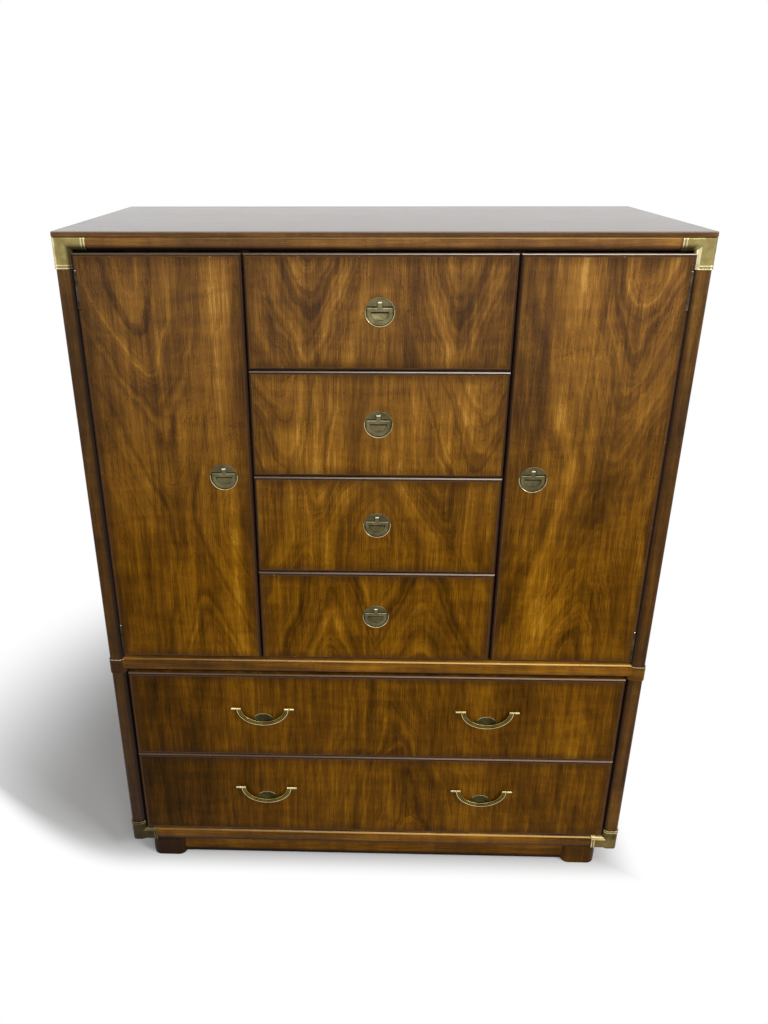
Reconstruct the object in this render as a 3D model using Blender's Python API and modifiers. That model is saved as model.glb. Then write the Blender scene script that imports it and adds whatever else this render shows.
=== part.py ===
"""A gentleman's chest: two doors and four small drawers over two long drawers, with brass corners and pulls.

Sizes are in metres and +Z is up. Heights are taken from the floor, x from the middle of the chest, and y,
called depth here, back from the front plane, where the faces of the doors and drawers lie.
"""

import math

import bmesh
import bpy
from mathutils import Matrix, Vector

# Clearances
FIT = 0.0003  # between pieces that touch
RUN = 0.0015  # between a drawer's box and what guides it
REVEAL = 0.003  # between the fronts, and round them
SWING = 0.0003  # between a pull's moving piece and what it turns past

# The case
CASE_W = 1.067
CASE_D = 0.470
CASE_H = 1.372
TOP_T = 0.009
TOP_SETBACK = 0.002
TOP_CORNER_R = 0.003
FOOT_H = 0.048
FOOT_W = 0.0755
FOOT_CORNER_R = 0.018
FOOT_EDGE_R = 0.003
FOOT_INSET = 0.038
FOOT_FRONT = 0.0005
FOOT_BACK = 0.0065
PLINTH_T = 0.018
PLINTH_SETBACK = 0.009
PLINTH_CLEAR = 0.007

# Posts and rails
POST_W = 0.032
POST_D = 0.040
POST_PROUD = 0.002
POST_CORNER_R = 0.006
MOULD_R = 0.014
RAIL_D = 0.020
RAIL_ARRIS_R = 0.0015
TOP_RAIL_H = 0.023
WAIST_RAIL_H = 0.0365
BASE_RAIL_H = 0.032
WAIST_Z = 0.5035
COLLAR_H = 0.033
COLLAR_DROP = 0.0025
COLLAR_PROUD = 0.002
COLLAR_WRAP = 0.037

# Brass corners
CORNER_T = 0.0012
CORNER_ARM_W = 0.054
CORNER_ARM_H = 0.050
CORNER_WRAP = 0.028
CORNER_LIP = 0.002
CORNER_R = 0.009
BEAD_W = 0.0065
BEAD_T = 0.0009

# Boards inside the case
SIDE_T = 0.019
SIDE_SETBACK = 0.0015
PARTITION_T = 0.019
DECK_T = 0.019
DUST_T = 0.012
BACK_T = 0.006
BACK_INSET = 0.004
SHELF_T = 0.016
SHELF_Z = 0.940
SHELF_SETBACK = 0.060
CLEAT_W = 0.012
CLEAT_H = 0.014
RUNNER_W = 0.040

# Doors and drawers
FRONT_T = 0.019
FRONT_BEVEL = 0.0045
FRONT_BACK_CLEAR = 0.003
MIDDLE_W = 0.4528
SMALL_DRAWERS = 4
BOX_RISE = 0.006
BOX_DROP = 0.025
BOX_WALL = 0.012
BOX_FLOOR_T = 0.006
BOX_BACK_CLEAR = 0.012
BOX_SIDE_CLEAR = 0.004

# Hinges
HINGE_L = 0.0635
HINGE_R = 0.0035
HINGE_SET = 0.003
HINGE_PIN_R = 0.0015
HINGE_BORE_R = 0.0017
HINGE_HEAD_R = 0.0025
HINGE_HEAD_H = 0.002
HINGE_LEAF_T = 0.0009
HINGE_LEAF_D = 0.028
HINGE_WEB_L = 0.0065
HINGE_WEB_T = 0.003
TOP_HINGE_DROP = 0.004
BASE_HINGE_RISE = 0.0075
KNUCKLE_L = 0.020

# Ring pulls
PULL_R = 0.0254
PULL_RIM_T = 0.0012
CUP_R = 0.0244
CUP_WALL = 0.0009
CUP_DEPTH = 0.006
CUP_FLOOR_T = 0.001
PLATE_T = 0.0015
PLATE_SET = 0.0001
RING_R = 0.0223
RING_HOLE_R = 0.0152
RING_T = 0.0024
RING_DEPTH = 0.002
RING_TOP = 0.0071
RING_PIVOT = 0.0063
RING_BAR_HALF = 0.0208
TAB_W = 0.009
TAB_TIP = 0.017
TAB_CLEAR = 0.0005
RING_PIN_R = 0.0009
RING_PIN_BORE_R = 0.00115
PULL_RISE = 0.003
DOOR_PULL_RISE = -0.0015
DOOR_PULL_INSET = 0.0511

# Bail pulls
BAIL_X = 0.230
BAIL_RISE = 0.0242
BAIL_OVERALL = 0.130
BAIL_BARREL_R = 0.003
BAIL_STANDOFF = 0.006
BAIL_BAND_W = 0.009
BAIL_BAND_T = 0.003
BAIL_DROP = 0.037
BAIL_HEAD_L = 0.011
BAIL_HEAD_GAP = 0.0006
BAIL_PIN_R = 0.0012
BAIL_BORE_R = 0.0014
BAIL_STEM_R = 0.0024
BAIL_FLANGE_R = 0.0052
BAIL_FLANGE_T = 0.0012
DISH_R = 0.0245
DISH_DEPTH = 0.0095
DISH_BOTTOM = 0.041

# How fine the round pieces are
PULL_STEPS = 24
SMALL_STEPS = 12

# Worked out from the sizes above
FRONT_Y = (BAIL_STANDOFF + BAIL_BARREL_R - CASE_D) / 2
POST_TOP = CASE_H - TOP_T
OPEN_HALF = CASE_W / 2 + POST_PROUD - POST_W
UPPER_LOW = WAIST_Z + WAIST_RAIL_H
UPPER_HIGH = POST_TOP - TOP_RAIL_H
LOWER_LOW = FOOT_H + BASE_RAIL_H
SIDE_GAP = HINGE_LEAF_T + 2 * FIT
SIDE_X = CASE_W / 2 - SIDE_SETBACK
SIDE_INNER = SIDE_X - SIDE_T
BOARD_FRONT = FRONT_T + FRONT_BACK_CLEAR
BACK_Y = CASE_D - BACK_INSET - BACK_T
PARTITION_X = MIDDLE_W / 2
SMALL_H = (UPPER_HIGH - UPPER_LOW - (SMALL_DRAWERS + 1) * REVEAL) / SMALL_DRAWERS
LONG_H = (WAIST_Z - LOWER_LOW - 3 * REVEAL) / 2
DOOR_LOW = UPPER_LOW + REVEAL
DOOR_HIGH = UPPER_HIGH - REVEAL
DOOR_INNER = PARTITION_X + REVEAL / 2
FRONT_OUTER = OPEN_HALF - SIDE_GAP
HINGE_REACH = MOULD_R + HINGE_R + FIT
HINGE_X = OPEN_HALF + MOULD_R - math.sqrt(HINGE_REACH**2 - (MOULD_R - HINGE_SET) ** 2)
HINGE_LOWS = {"top": POST_TOP - CORNER_ARM_H - TOP_HINGE_DROP - HINGE_L, "base": DOOR_LOW + BASE_HINGE_RISE}
TAB_REACH = math.hypot(TAB_TIP - RING_PIVOT, RING_T / 2) + SWING
BAR_REACH = math.hypot(RING_TOP - RING_PIVOT, RING_T / 2) + SWING
BAIL_EYE_X = BAIL_OVERALL / 2 - BAIL_HEAD_L - BAIL_HEAD_GAP - BAIL_BAND_W / 2

# The ways an outline faces: its own x, y and normal become
PLAN = Matrix.Identity(4)  # x, depth and up
SIDE = Matrix(((0, 0, 1, 0), (1, 0, 0, 0), (0, 1, 0, 0), (0, 0, 0, 1)))  # depth, up and x
FACE = Matrix.Rotation(math.pi / 2, 4, "X")  # x, up and out of the front
ALONG_X = Matrix.Rotation(math.pi / 2, 4, "Y")
CASE = Matrix.Translation((0, FRONT_Y, 0))

SIDES = {"left": -1, "right": 1}


def clear_scene():
    for obj in list(bpy.data.objects):
        bpy.data.objects.remove(obj, do_unlink=True)


def new_collection(name):
    collection = bpy.data.collections.new(name)
    bpy.context.scene.collection.children.link(collection)
    return collection


def finish(name, color, roughness, metallic=0.0):
    material = bpy.data.materials.new(name)
    material.use_nodes = True
    shader = material.node_tree.nodes["Principled BSDF"]
    shader.inputs["Base Color"].default_value = (*color, 1)
    shader.inputs["Roughness"].default_value = roughness
    shader.inputs["Metallic"].default_value = metallic
    material.diffuse_color = (*color, 1)
    return material


clear_scene()
PARTS = new_collection("gentlemans_chest")
CUTTERS = new_collection("cutters")
VENEER = finish("figured_veneer", (0.33, 0.18, 0.06), 0.25)
CASE_WOOD = finish("case_wood", (0.21, 0.11, 0.045), 0.3)
INNER_WOOD = finish("drawer_wood", (0.55, 0.4, 0.24), 0.55)
FOOT_WOOD = finish("dark_block_wood", (0.07, 0.04, 0.02), 0.3)
BRASS = finish("aged_brass", (0.45, 0.38, 0.2), 0.3, 1.0)
HINGE_METAL = finish("dark_brass", (0.12, 0.11, 0.08), 0.4, 1.0)


def new_object(name, mesh, matrix, material=None):
    """A named part where a material is given, and otherwise a cutter or a piece to be joined."""
    obj = bpy.data.objects.new(name, mesh)
    obj.matrix_world = matrix
    if material:
        mesh.materials.append(material)
        PARTS.objects.link(obj)
    else:
        obj.hide_render = True
        obj.display_type = "WIRE"
        CUTTERS.objects.link(obj)
    return obj


def box(name, low, high, material=None, bevel=0.0, bevel_edge=None):
    """A board between two corners, with the edges that bevel_edge picks taken off."""
    size = Vector(high) - Vector(low)
    bm = bmesh.new()
    bmesh.ops.create_cube(bm, size=1.0, matrix=Matrix.Diagonal((*size, 1.0)))
    if bevel:
        edges = [edge for edge in bm.edges if bevel_edge(edge)]
        bmesh.ops.bevel(bm, geom=edges, offset=bevel, segments=1, profile=0.5, affect="EDGES")
    mesh = bpy.data.meshes.new(name)
    bm.to_mesh(mesh)
    bm.free()
    centre = (Vector(low) + Vector(high)) / 2
    return new_object(name, mesh, CASE @ Matrix.Translation(centre), material)


def front_edge(edge):
    """True for the four edges round a board's front face."""
    return all(vert.co.y < 0 for vert in edge.verts)


def upright_edge(edge):
    ends = edge.verts
    return abs(ends[0].co.z - ends[1].co.z) > 1e-6


def cylinder(name, radius, low, high, matrix, steps=SMALL_STEPS, material=None):
    """A round bar along its own z axis, from low to high."""
    bm = bmesh.new()
    bmesh.ops.create_cone(bm, cap_ends=True, segments=steps, radius1=radius, radius2=radius, depth=high - low)
    bmesh.ops.translate(bm, verts=bm.verts, vec=(0, 0, (low + high) / 2))
    mesh = bpy.data.meshes.new(name)
    bm.to_mesh(mesh)
    bm.free()
    return new_object(name, mesh, matrix, material)


def turned(name, profile, matrix, steps, material=None):
    """A lathe shape: its profile of radius and height runs down the outer side."""
    mesh = bpy.data.meshes.new(name)
    edges = [(i, i + 1) for i in range(len(profile) - 1)]
    mesh.from_pydata([(r, 0, z) for r, z in profile], edges, [])
    obj = new_object(name, mesh, matrix, material)
    screw = obj.modifiers.new("turn", "SCREW")
    screw.steps = steps
    screw.render_steps = steps
    screw.use_merge_vertices = True
    screw.merge_threshold = 0.00001
    return obj


def prism(name, outlines, low, high, facing, material=None):
    """Flat outlines made solid from low to high along their normal; an outline inside another is a hole."""
    curve = bpy.data.curves.new(name, "CURVE")
    curve.dimensions = "2D"
    curve.fill_mode = "BOTH"
    curve.extrude = (high - low) / 2
    for outline in outlines:
        spline = curve.splines.new("POLY")
        spline.points.add(len(outline) - 1)
        for point, (u, v) in zip(spline.points, outline):
            point.co = (u, v, 0, 1)
        spline.use_cyclic_u = True
    guide = bpy.data.objects.new(name, curve)
    CUTTERS.objects.link(guide)
    mesh = bpy.data.meshes.new_from_object(guide.evaluated_get(bpy.context.evaluated_depsgraph_get()))
    bpy.data.objects.remove(guide)
    bm = bmesh.new()
    bm.from_mesh(mesh)
    bmesh.ops.remove_doubles(bm, verts=bm.verts, dist=0.000001)
    bmesh.ops.recalc_face_normals(bm, faces=bm.faces)
    bm.to_mesh(mesh)
    bm.free()
    matrix = facing @ Matrix.Translation((0, 0, (low + high) / 2))
    return new_object(name, mesh, matrix, material)


def combine(obj, operation, tools):
    for tool in tools:
        modifier = obj.modifiers.new(operation.lower(), "BOOLEAN")
        modifier.operation = operation
        modifier.object = tool
        modifier.solver = "EXACT"
    return obj


def cut(obj, *tools):
    return combine(obj, "DIFFERENCE", tools)


def join(obj, *tools):
    return combine(obj, "UNION", tools)


def arc(centre, radius, start, end, steps):
    """Points on a round stretch, its angles in degrees."""
    angles = [math.radians(start + (end - start) * i / steps) for i in range(steps + 1)]
    return [(centre[0] + radius * math.cos(a), centre[1] + radius * math.sin(a)) for a in angles]


def pivot(name, location, parent=None):
    """An empty on a joint's axis, which carries the pieces that move on it."""
    empty = bpy.data.objects.new(name, None)
    PARTS.objects.link(empty)
    empty.matrix_world = Matrix.Translation(location)
    if parent:
        carry(parent, [empty])
    return empty


def carry(empty, pieces):
    bpy.context.view_layer.update()
    for piece in pieces:
        piece.parent = empty
        piece.matrix_parent_inverse = empty.matrix_world.inverted()


def post_outline(side, grow, back, reach_in):
    """A post's section in plan, grown all round but on its inner side no further than reach_in."""
    radius = MOULD_R + grow
    inner = -(MOULD_R + reach_in)
    start = 360 - math.degrees(math.acos(inner / radius))
    centre = (OPEN_HALF + MOULD_R, MOULD_R)
    corner = (OPEN_HALF + POST_W - POST_CORNER_R, POST_CORNER_R)
    points = [(centre[0] + inner, back)]
    points += arc(centre, radius, start, 270, 7)
    points += arc(corner, POST_CORNER_R + grow, 270, 360, 4)
    points += [(OPEN_HALF + POST_W + grow, back)]
    return [(side * x, y) for x, y in points]


def rail_outline(low, high, low_r, high_r, grow, back):
    """A rail's section seen from its end, rounded by low_r and high_r at its front edges."""
    points = [(back, low - grow)]
    points += arc((low_r, low + low_r), low_r + grow, 270, 180, 7)
    points += arc((high_r, high - high_r), high_r + grow, 180, 90, 7)
    points += [(back, high + grow)]
    return points


def post_cutter(side):
    outline = post_outline(side, FIT, POST_D + FIT, FIT)
    return prism(f"post_room_{side}", [outline], FOOT_H - TOP_T, CASE_H, CASE @ PLAN)


def collar_cutter(side):
    outline = post_outline(side, COLLAR_PROUD + FIT, COLLAR_WRAP + FIT, FIT)
    low = WAIST_Z - COLLAR_DROP - FIT
    return prism(f"collar_room_{side}", [outline], low, low + COLLAR_H + 2 * FIT, CASE @ PLAN)


def corner_rounder(side):
    """What rounds a bottom corner, seen from the front, of a post and its brass."""
    outer = OPEN_HALF + POST_W + FIT + CORNER_T
    centre = (outer - CORNER_R, FOOT_H + CORNER_R)
    beyond = outer + CORNER_R
    below = FOOT_H - CORNER_R
    points = arc(centre, CORNER_R, 270, 360, 5)
    points += [(beyond, centre[1]), (beyond, below), (centre[0], below)]
    points = [(side * x, z) for x, z in points]
    return prism(f"corner_round_{side}", [points], -POST_D - FIT / 2, CORNER_R, CASE @ FACE)


POST_ROOM = {side: post_cutter(side) for side in SIDES.values()}
COLLAR_ROOM = {side: collar_cutter(side) for side in SIDES.values()}
ROUNDERS = {side: corner_rounder(side) for side in SIDES.values()}
RAILS = {
    "top": (UPPER_HIGH, POST_TOP - FIT, MOULD_R, RAIL_ARRIS_R),
    "waist": (WAIST_Z, UPPER_LOW, MOULD_R, MOULD_R),
    "base": (FOOT_H, LOWER_LOW, POST_CORNER_R, MOULD_R),
}


def make_case_boards():
    """The slab, sides, back, decks and partitions that make the box of the chest."""
    top_low = (-CASE_W / 2, TOP_SETBACK, POST_TOP)
    box("top_panel", top_low, (CASE_W / 2, CASE_D, CASE_H), CASE_WOOD, TOP_CORNER_R, upright_edge)
    reach = SIDE_INNER - FIT
    box("back_panel", (-reach, BACK_Y, FOOT_H), (reach, BACK_Y + BACK_T, POST_TOP - FIT), CASE_WOOD)
    behind = RAIL_D + FIT
    rear = BACK_Y - FIT
    waist = box("waist_deck", (-reach, behind, UPPER_LOW - DECK_T), (reach, rear, UPPER_LOW), CASE_WOOD)
    cut(waist, POST_ROOM[-1], POST_ROOM[1])
    dust_top = LOWER_LOW + 2 * REVEAL + LONG_H + BOX_RISE - FIT
    dust_low = (-reach, BOARD_FRONT, dust_top - DUST_T)
    dust = box("lower_dust_panel", dust_low, (reach, rear, dust_top), CASE_WOOD)
    cut(dust, POST_ROOM[-1], POST_ROOM[1])
    base = box("base_deck", (-reach, behind, FOOT_H), (reach, rear, FOOT_H + DECK_T), CASE_WOOD)
    runner_top = LOWER_LOW + REVEAL + BOX_RISE - FIT
    runner_out = FRONT_OUTER - BOX_SIDE_CLEAR
    runners = []
    for side in SIDES.values():
        ends = sorted((side * (runner_out - RUNNER_W), side * runner_out))
        low = (ends[0], POST_D, FOOT_H + DECK_T / 2)
        runners.append(box(f"runner_{side}", low, (ends[1], rear - RUNNER_W, runner_top)))
    cut(base, POST_ROOM[-1], POST_ROOM[1])
    join(base, *runners)


def make_side(name, side):
    """A side panel with its shelf cleat, a partition with its cleats, and the shelf between them."""
    shelf_low = SHELF_Z - SHELF_T / 2
    cleat_top = shelf_low - FIT
    depth_low = SHELF_SETBACK + CLEAT_W
    depth_high = BACK_Y - CLEAT_W

    def across(x_a, x_b):
        return sorted((side * x_a, side * x_b))

    def cleat(tag, x_a, x_b, top, front):
        ends = across(x_a, x_b)
        low = max(top - CLEAT_H, UPPER_LOW + FIT)
        return box(f"{name}_cleat_{tag}", (ends[0], front, low), (ends[1], depth_high, top))

    panel_x = across(SIDE_INNER, SIDE_X)
    panel = box(
        f"{name}_side_panel",
        (panel_x[0], POST_D + FIT, FOOT_H),
        (panel_x[1], CASE_D, POST_TOP - FIT),
        CASE_WOOD,
    )
    join(panel, cleat("shelf_outer", SIDE_INNER - CLEAT_W, SIDE_INNER + SIDE_T / 2, cleat_top, depth_low))

    inner = PARTITION_X - PARTITION_T / 2
    outer = PARTITION_X + PARTITION_T / 2
    wall_x = across(inner, outer)
    partition = box(
        f"{name}_partition",
        (wall_x[0], BOARD_FRONT, UPPER_LOW + FIT),
        (wall_x[1], BACK_Y - FIT, POST_TOP - FIT),
        CASE_WOOD,
    )
    join(partition, cleat("shelf_inner", PARTITION_X, outer + CLEAT_W, cleat_top, depth_low))
    for row in range(SMALL_DRAWERS):
        top = UPPER_LOW + REVEAL + row * (SMALL_H + REVEAL) + BOX_RISE - FIT
        join(partition, cleat(f"drawer_{row}", inner - CLEAT_W, PARTITION_X, top, RAIL_D + CLEAT_W))

    shelf_x = across(outer + FIT, SIDE_INNER - FIT)
    low = (shelf_x[0], SHELF_SETBACK, shelf_low)
    box(f"{name}_shelf", low, (shelf_x[1], BACK_Y - FIT, shelf_low + SHELF_T), CASE_WOOD)


def make_post(name, side):
    """A front post with its waist collar."""
    outline = post_outline(side, 0, POST_D, 0)
    post = prism(f"{name}_post", [outline], FOOT_H, POST_TOP - FIT, CASE @ PLAN, CASE_WOOD)
    collar_low = WAIST_Z - COLLAR_DROP
    band = post_outline(side, COLLAR_PROUD, COLLAR_WRAP, 0)
    join(post, prism(f"{name}_collar", [band], collar_low, collar_low + COLLAR_H, CASE @ PLAN))
    cut(post, ROUNDERS[side])


def make_rail(name):
    low, high, low_r, high_r = RAILS[name]
    outline = rail_outline(low, high, low_r, high_r, 0, RAIL_D)
    end = OPEN_HALF + MOULD_R
    rail = prism(f"{name}_rail", [outline], -end, end, CASE @ SIDE, CASE_WOOD)
    cut(rail, POST_ROOM[-1], POST_ROOM[1])
    if name == "waist":
        cut(rail, COLLAR_ROOM[-1], COLLAR_ROOM[1])


def make_brass_corner(name, side, rail):
    """An elbow sleeve folded round a rail's end and a post's end, with a bead at the end of each arm."""
    low, high, low_r, high_r = RAILS[rail]
    wall = FIT + CORNER_T
    outer = OPEN_HALF + POST_W
    arm_in = outer - CORNER_ARM_W
    tuck = OPEN_HALF + MOULD_R
    lip = MOULD_R + CORNER_LIP
    if rail == "top":
        arm = (high - CORNER_ARM_H, high + wall)
        bead = (arm[0] - BEAD_T, arm[0] + BEAD_W)
        waste = (high, high + CORNER_ARM_H)
    else:
        arm = (low - wall, low + CORNER_ARM_H)
        bead = (arm[1] - BEAD_W, arm[1] + BEAD_T)
        waste = (low - CORNER_ARM_H, low)

    def across(x_a, x_b):
        return sorted((side * x_a, side * x_b))

    def post_sleeve(tag, grow, span, wrap, reach_in, material=None):
        outline = post_outline(side, grow, wrap, reach_in)
        return prism(tag, [outline], *span, CASE @ PLAN, material)

    def rail_sleeve(tag, grow, span, back):
        outline = rail_outline(low, high, low_r, high_r, grow, back)
        return prism(f"{name}_{tag}", [outline], *across(*span), CASE @ SIDE)

    sleeve = post_sleeve(name, wall, arm, CORNER_WRAP, 0, BRASS)
    join(sleeve, rail_sleeve("rail_arm", wall, (arm_in, tuck), lip))
    join(sleeve, post_sleeve(f"{name}_post_bead", wall + BEAD_T, bead, CORNER_WRAP - BEAD_T, -FIT))
    rail_bead = (arm_in - BEAD_T, arm_in + BEAD_W)
    join(sleeve, rail_sleeve("rail_bead", wall + BEAD_T, rail_bead, lip - BEAD_T / 2))
    ends = across(arm_in - BEAD_W, outer + 2 * BEAD_W)
    clip = box(f"{name}_clip", (ends[0], -CORNER_WRAP, waste[0]), (ends[1], 2 * CORNER_WRAP, waste[1]))
    room = rail_sleeve("rail_room", FIT, (arm_in - BEAD_W, tuck + POST_CORNER_R), POST_D)
    cut(sleeve, POST_ROOM[side], room, clip)
    if rail == "base":
        cut(sleeve, ROUNDERS[side])


def foot_block(name, grow, low, high, spot, material=None):
    """A square block with rounded corners, grown all round; a foot's lower edge is rounded too."""
    size = FOOT_W + 2 * grow
    place = Matrix.Translation((0, 0, (low + high) / 2)) @ Matrix.Diagonal((size, size, high - low, 1.0))
    bm = bmesh.new()
    bmesh.ops.create_cube(bm, size=1.0, matrix=place)
    edges = [edge for edge in bm.edges if upright_edge(edge)]
    bmesh.ops.bevel(bm, geom=edges, offset=FOOT_CORNER_R + grow, segments=6, profile=0.5, affect="EDGES")
    if material:
        edges = [edge for edge in bm.edges if all(vert.co.z < low + 1e-6 for vert in edge.verts)]
        bmesh.ops.bevel(bm, geom=edges, offset=FOOT_EDGE_R, segments=2, profile=0.5, affect="EDGES")
    mesh = bpy.data.meshes.new(name)
    bm.to_mesh(mesh)
    bm.free()
    return new_object(name, mesh, spot, material)


def make_feet_and_plinth():
    """Four block feet with rounded corners and the board that fills in between the front two."""
    foot_x = CASE_W / 2 - FOOT_INSET - FOOT_W / 2
    top = FOOT_H - FIT
    depths = {"front": FOOT_FRONT + FOOT_W / 2, "rear": CASE_D - FOOT_BACK - FOOT_W / 2}
    rooms = []
    for name, side in SIDES.items():
        for place, depth in depths.items():
            spot = CASE @ Matrix.Translation((side * foot_x, depth, 0))
            foot_block(f"{place}_{name}_foot", 0.0, 0.0, top, spot, FOOT_WOOD)
        spot = CASE @ Matrix.Translation((side * foot_x, depths["front"], 0))
        rooms.append(foot_block(f"foot_room_{side}", FIT, -FOOT_H, FOOT_H, spot))
    low = (-foot_x, PLINTH_SETBACK, PLINTH_CLEAR)
    plinth = box("plinth", low, (foot_x, PLINTH_SETBACK + PLINTH_T, top), CASE_WOOD)
    cut(plinth, *rooms)


def make_fixed_hinge(name, side, low):
    """The half of a hinge that stays on the post: its leaf, two knuckles and the pin with its heads."""
    high = low + HINGE_L
    profile = [(0, high + HINGE_HEAD_H), (HINGE_HEAD_R, high + HINGE_HEAD_H / 2), (HINGE_HEAD_R, high)]
    profile += [(HINGE_R, high), (HINGE_R, high - KNUCKLE_L), (HINGE_PIN_R, high - KNUCKLE_L)]
    profile += [(r, low + high - z) for r, z in reversed(profile)]
    axis = CASE @ Matrix.Translation((side * HINGE_X, HINGE_SET, 0))
    ends = sorted((side * (OPEN_HALF - FIT), side * (OPEN_HALF - FIT - HINGE_LEAF_T)))
    leaf = box(name, (ends[0], HINGE_SET, low), (ends[1], HINGE_LEAF_D, high), HINGE_METAL)
    middle = (low + KNUCKLE_L, high - KNUCKLE_L)
    cut(leaf, cylinder(f"{name}_room", HINGE_R + FIT, *middle, axis))
    join(leaf, turned(f"{name}_barrel", profile, axis, SMALL_STEPS))


def make_front(name, low, high):
    """A door or drawer front: a thick board with a bevel round its face."""
    return box(name, (low[0], 0, low[1]), (high[0], FRONT_T, high[1]), VENEER, FRONT_BEVEL, front_edge)


def make_ring_pull(name, front, x, z, parent):
    """A flush ring pull let into a front: its cup, its ring and the empty on which the ring turns."""
    spot = CASE @ Matrix.Translation((x, 0, z)) @ FACE
    wall_in = CUP_R - CUP_WALL
    floor = -CUP_DEPTH
    under = floor - CUP_FLOOR_T
    rim_mid = (PULL_R + wall_in) / 2
    profile = [(0, floor), (wall_in, floor), (wall_in, PULL_RIM_T / 2), (rim_mid, PULL_RIM_T)]
    profile += [(PULL_R, PULL_RIM_T / 2), (PULL_R, FIT), (CUP_R, FIT), (CUP_R, under), (0, under)]
    cup = turned(f"{name}_cup", profile, spot, PULL_STEPS, BRASS)

    chord = RING_PIVOT + BAR_REACH
    plate_r = CUP_R - CUP_WALL / 2
    lean = math.degrees(math.asin(chord / plate_r))
    segment = arc((0, 0), plate_r, lean, 180 - lean, 12)
    join(cup, prism(f"{name}_plate", [segment], -PLATE_SET - PLATE_T, -PLATE_SET, spot))
    slot_half = TAB_W / 2 + TAB_CLEAR
    slot_low = RING_PIVOT - RING_T / 2 - SWING
    slot_high = RING_PIVOT + TAB_REACH
    slot = [(-slot_half, slot_low), (slot_half, slot_low), (slot_half, slot_high), (-slot_half, slot_high)]
    depth = RING_DEPTH + TAB_REACH
    cut(cup, prism(f"{name}_slot", [slot], -depth, PULL_RIM_T, spot))
    axis = spot @ Matrix.Translation((0, RING_PIVOT, -RING_DEPTH)) @ ALONG_X
    cut(cup, cylinder(f"{name}_pin_hole", RING_PIN_BORE_R, -PULL_R, PULL_R, axis))

    room = cylinder(f"{name}_room", CUP_R + FIT, under - FIT, PULL_RIM_T, spot, PULL_STEPS)
    pocket = prism(f"{name}_pocket", [slot], -depth, PULL_RIM_T, spot)
    cut(front, room, pocket)

    shoulder = math.degrees(math.acos(RING_BAR_HALF / RING_R))
    outline = arc((0, 0), RING_R, 180 + shoulder, 360 - shoulder, 14)
    outline += [(RING_BAR_HALF, RING_TOP), (TAB_W / 2, RING_TOP), (TAB_W / 2, TAB_TIP)]
    outline += [(-TAB_W / 2, TAB_TIP), (-TAB_W / 2, RING_TOP), (-RING_BAR_HALF, RING_TOP)]
    hole = arc((0, 0), RING_HOLE_R, 180, 360, 12)
    middle = -RING_DEPTH
    ring = prism(f"{name}_ring", [outline, hole], middle - RING_T / 2, middle + RING_T / 2, spot, BRASS)
    pin_x = math.sqrt(wall_in**2 - RING_PIVOT**2) + CUP_WALL / 2
    join(ring, cylinder(f"{name}_pin_left", RING_PIN_R, -pin_x, -RING_BAR_HALF + CUP_WALL, axis))
    join(ring, cylinder(f"{name}_pin_right", RING_PIN_R, RING_BAR_HALF - CUP_WALL, pin_x, axis))
    carry(parent, [cup])
    turn = pivot(f"{name}_ring_axis", (x, FRONT_Y + RING_DEPTH, z + RING_PIVOT), parent)
    carry(turn, [ring])


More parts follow.
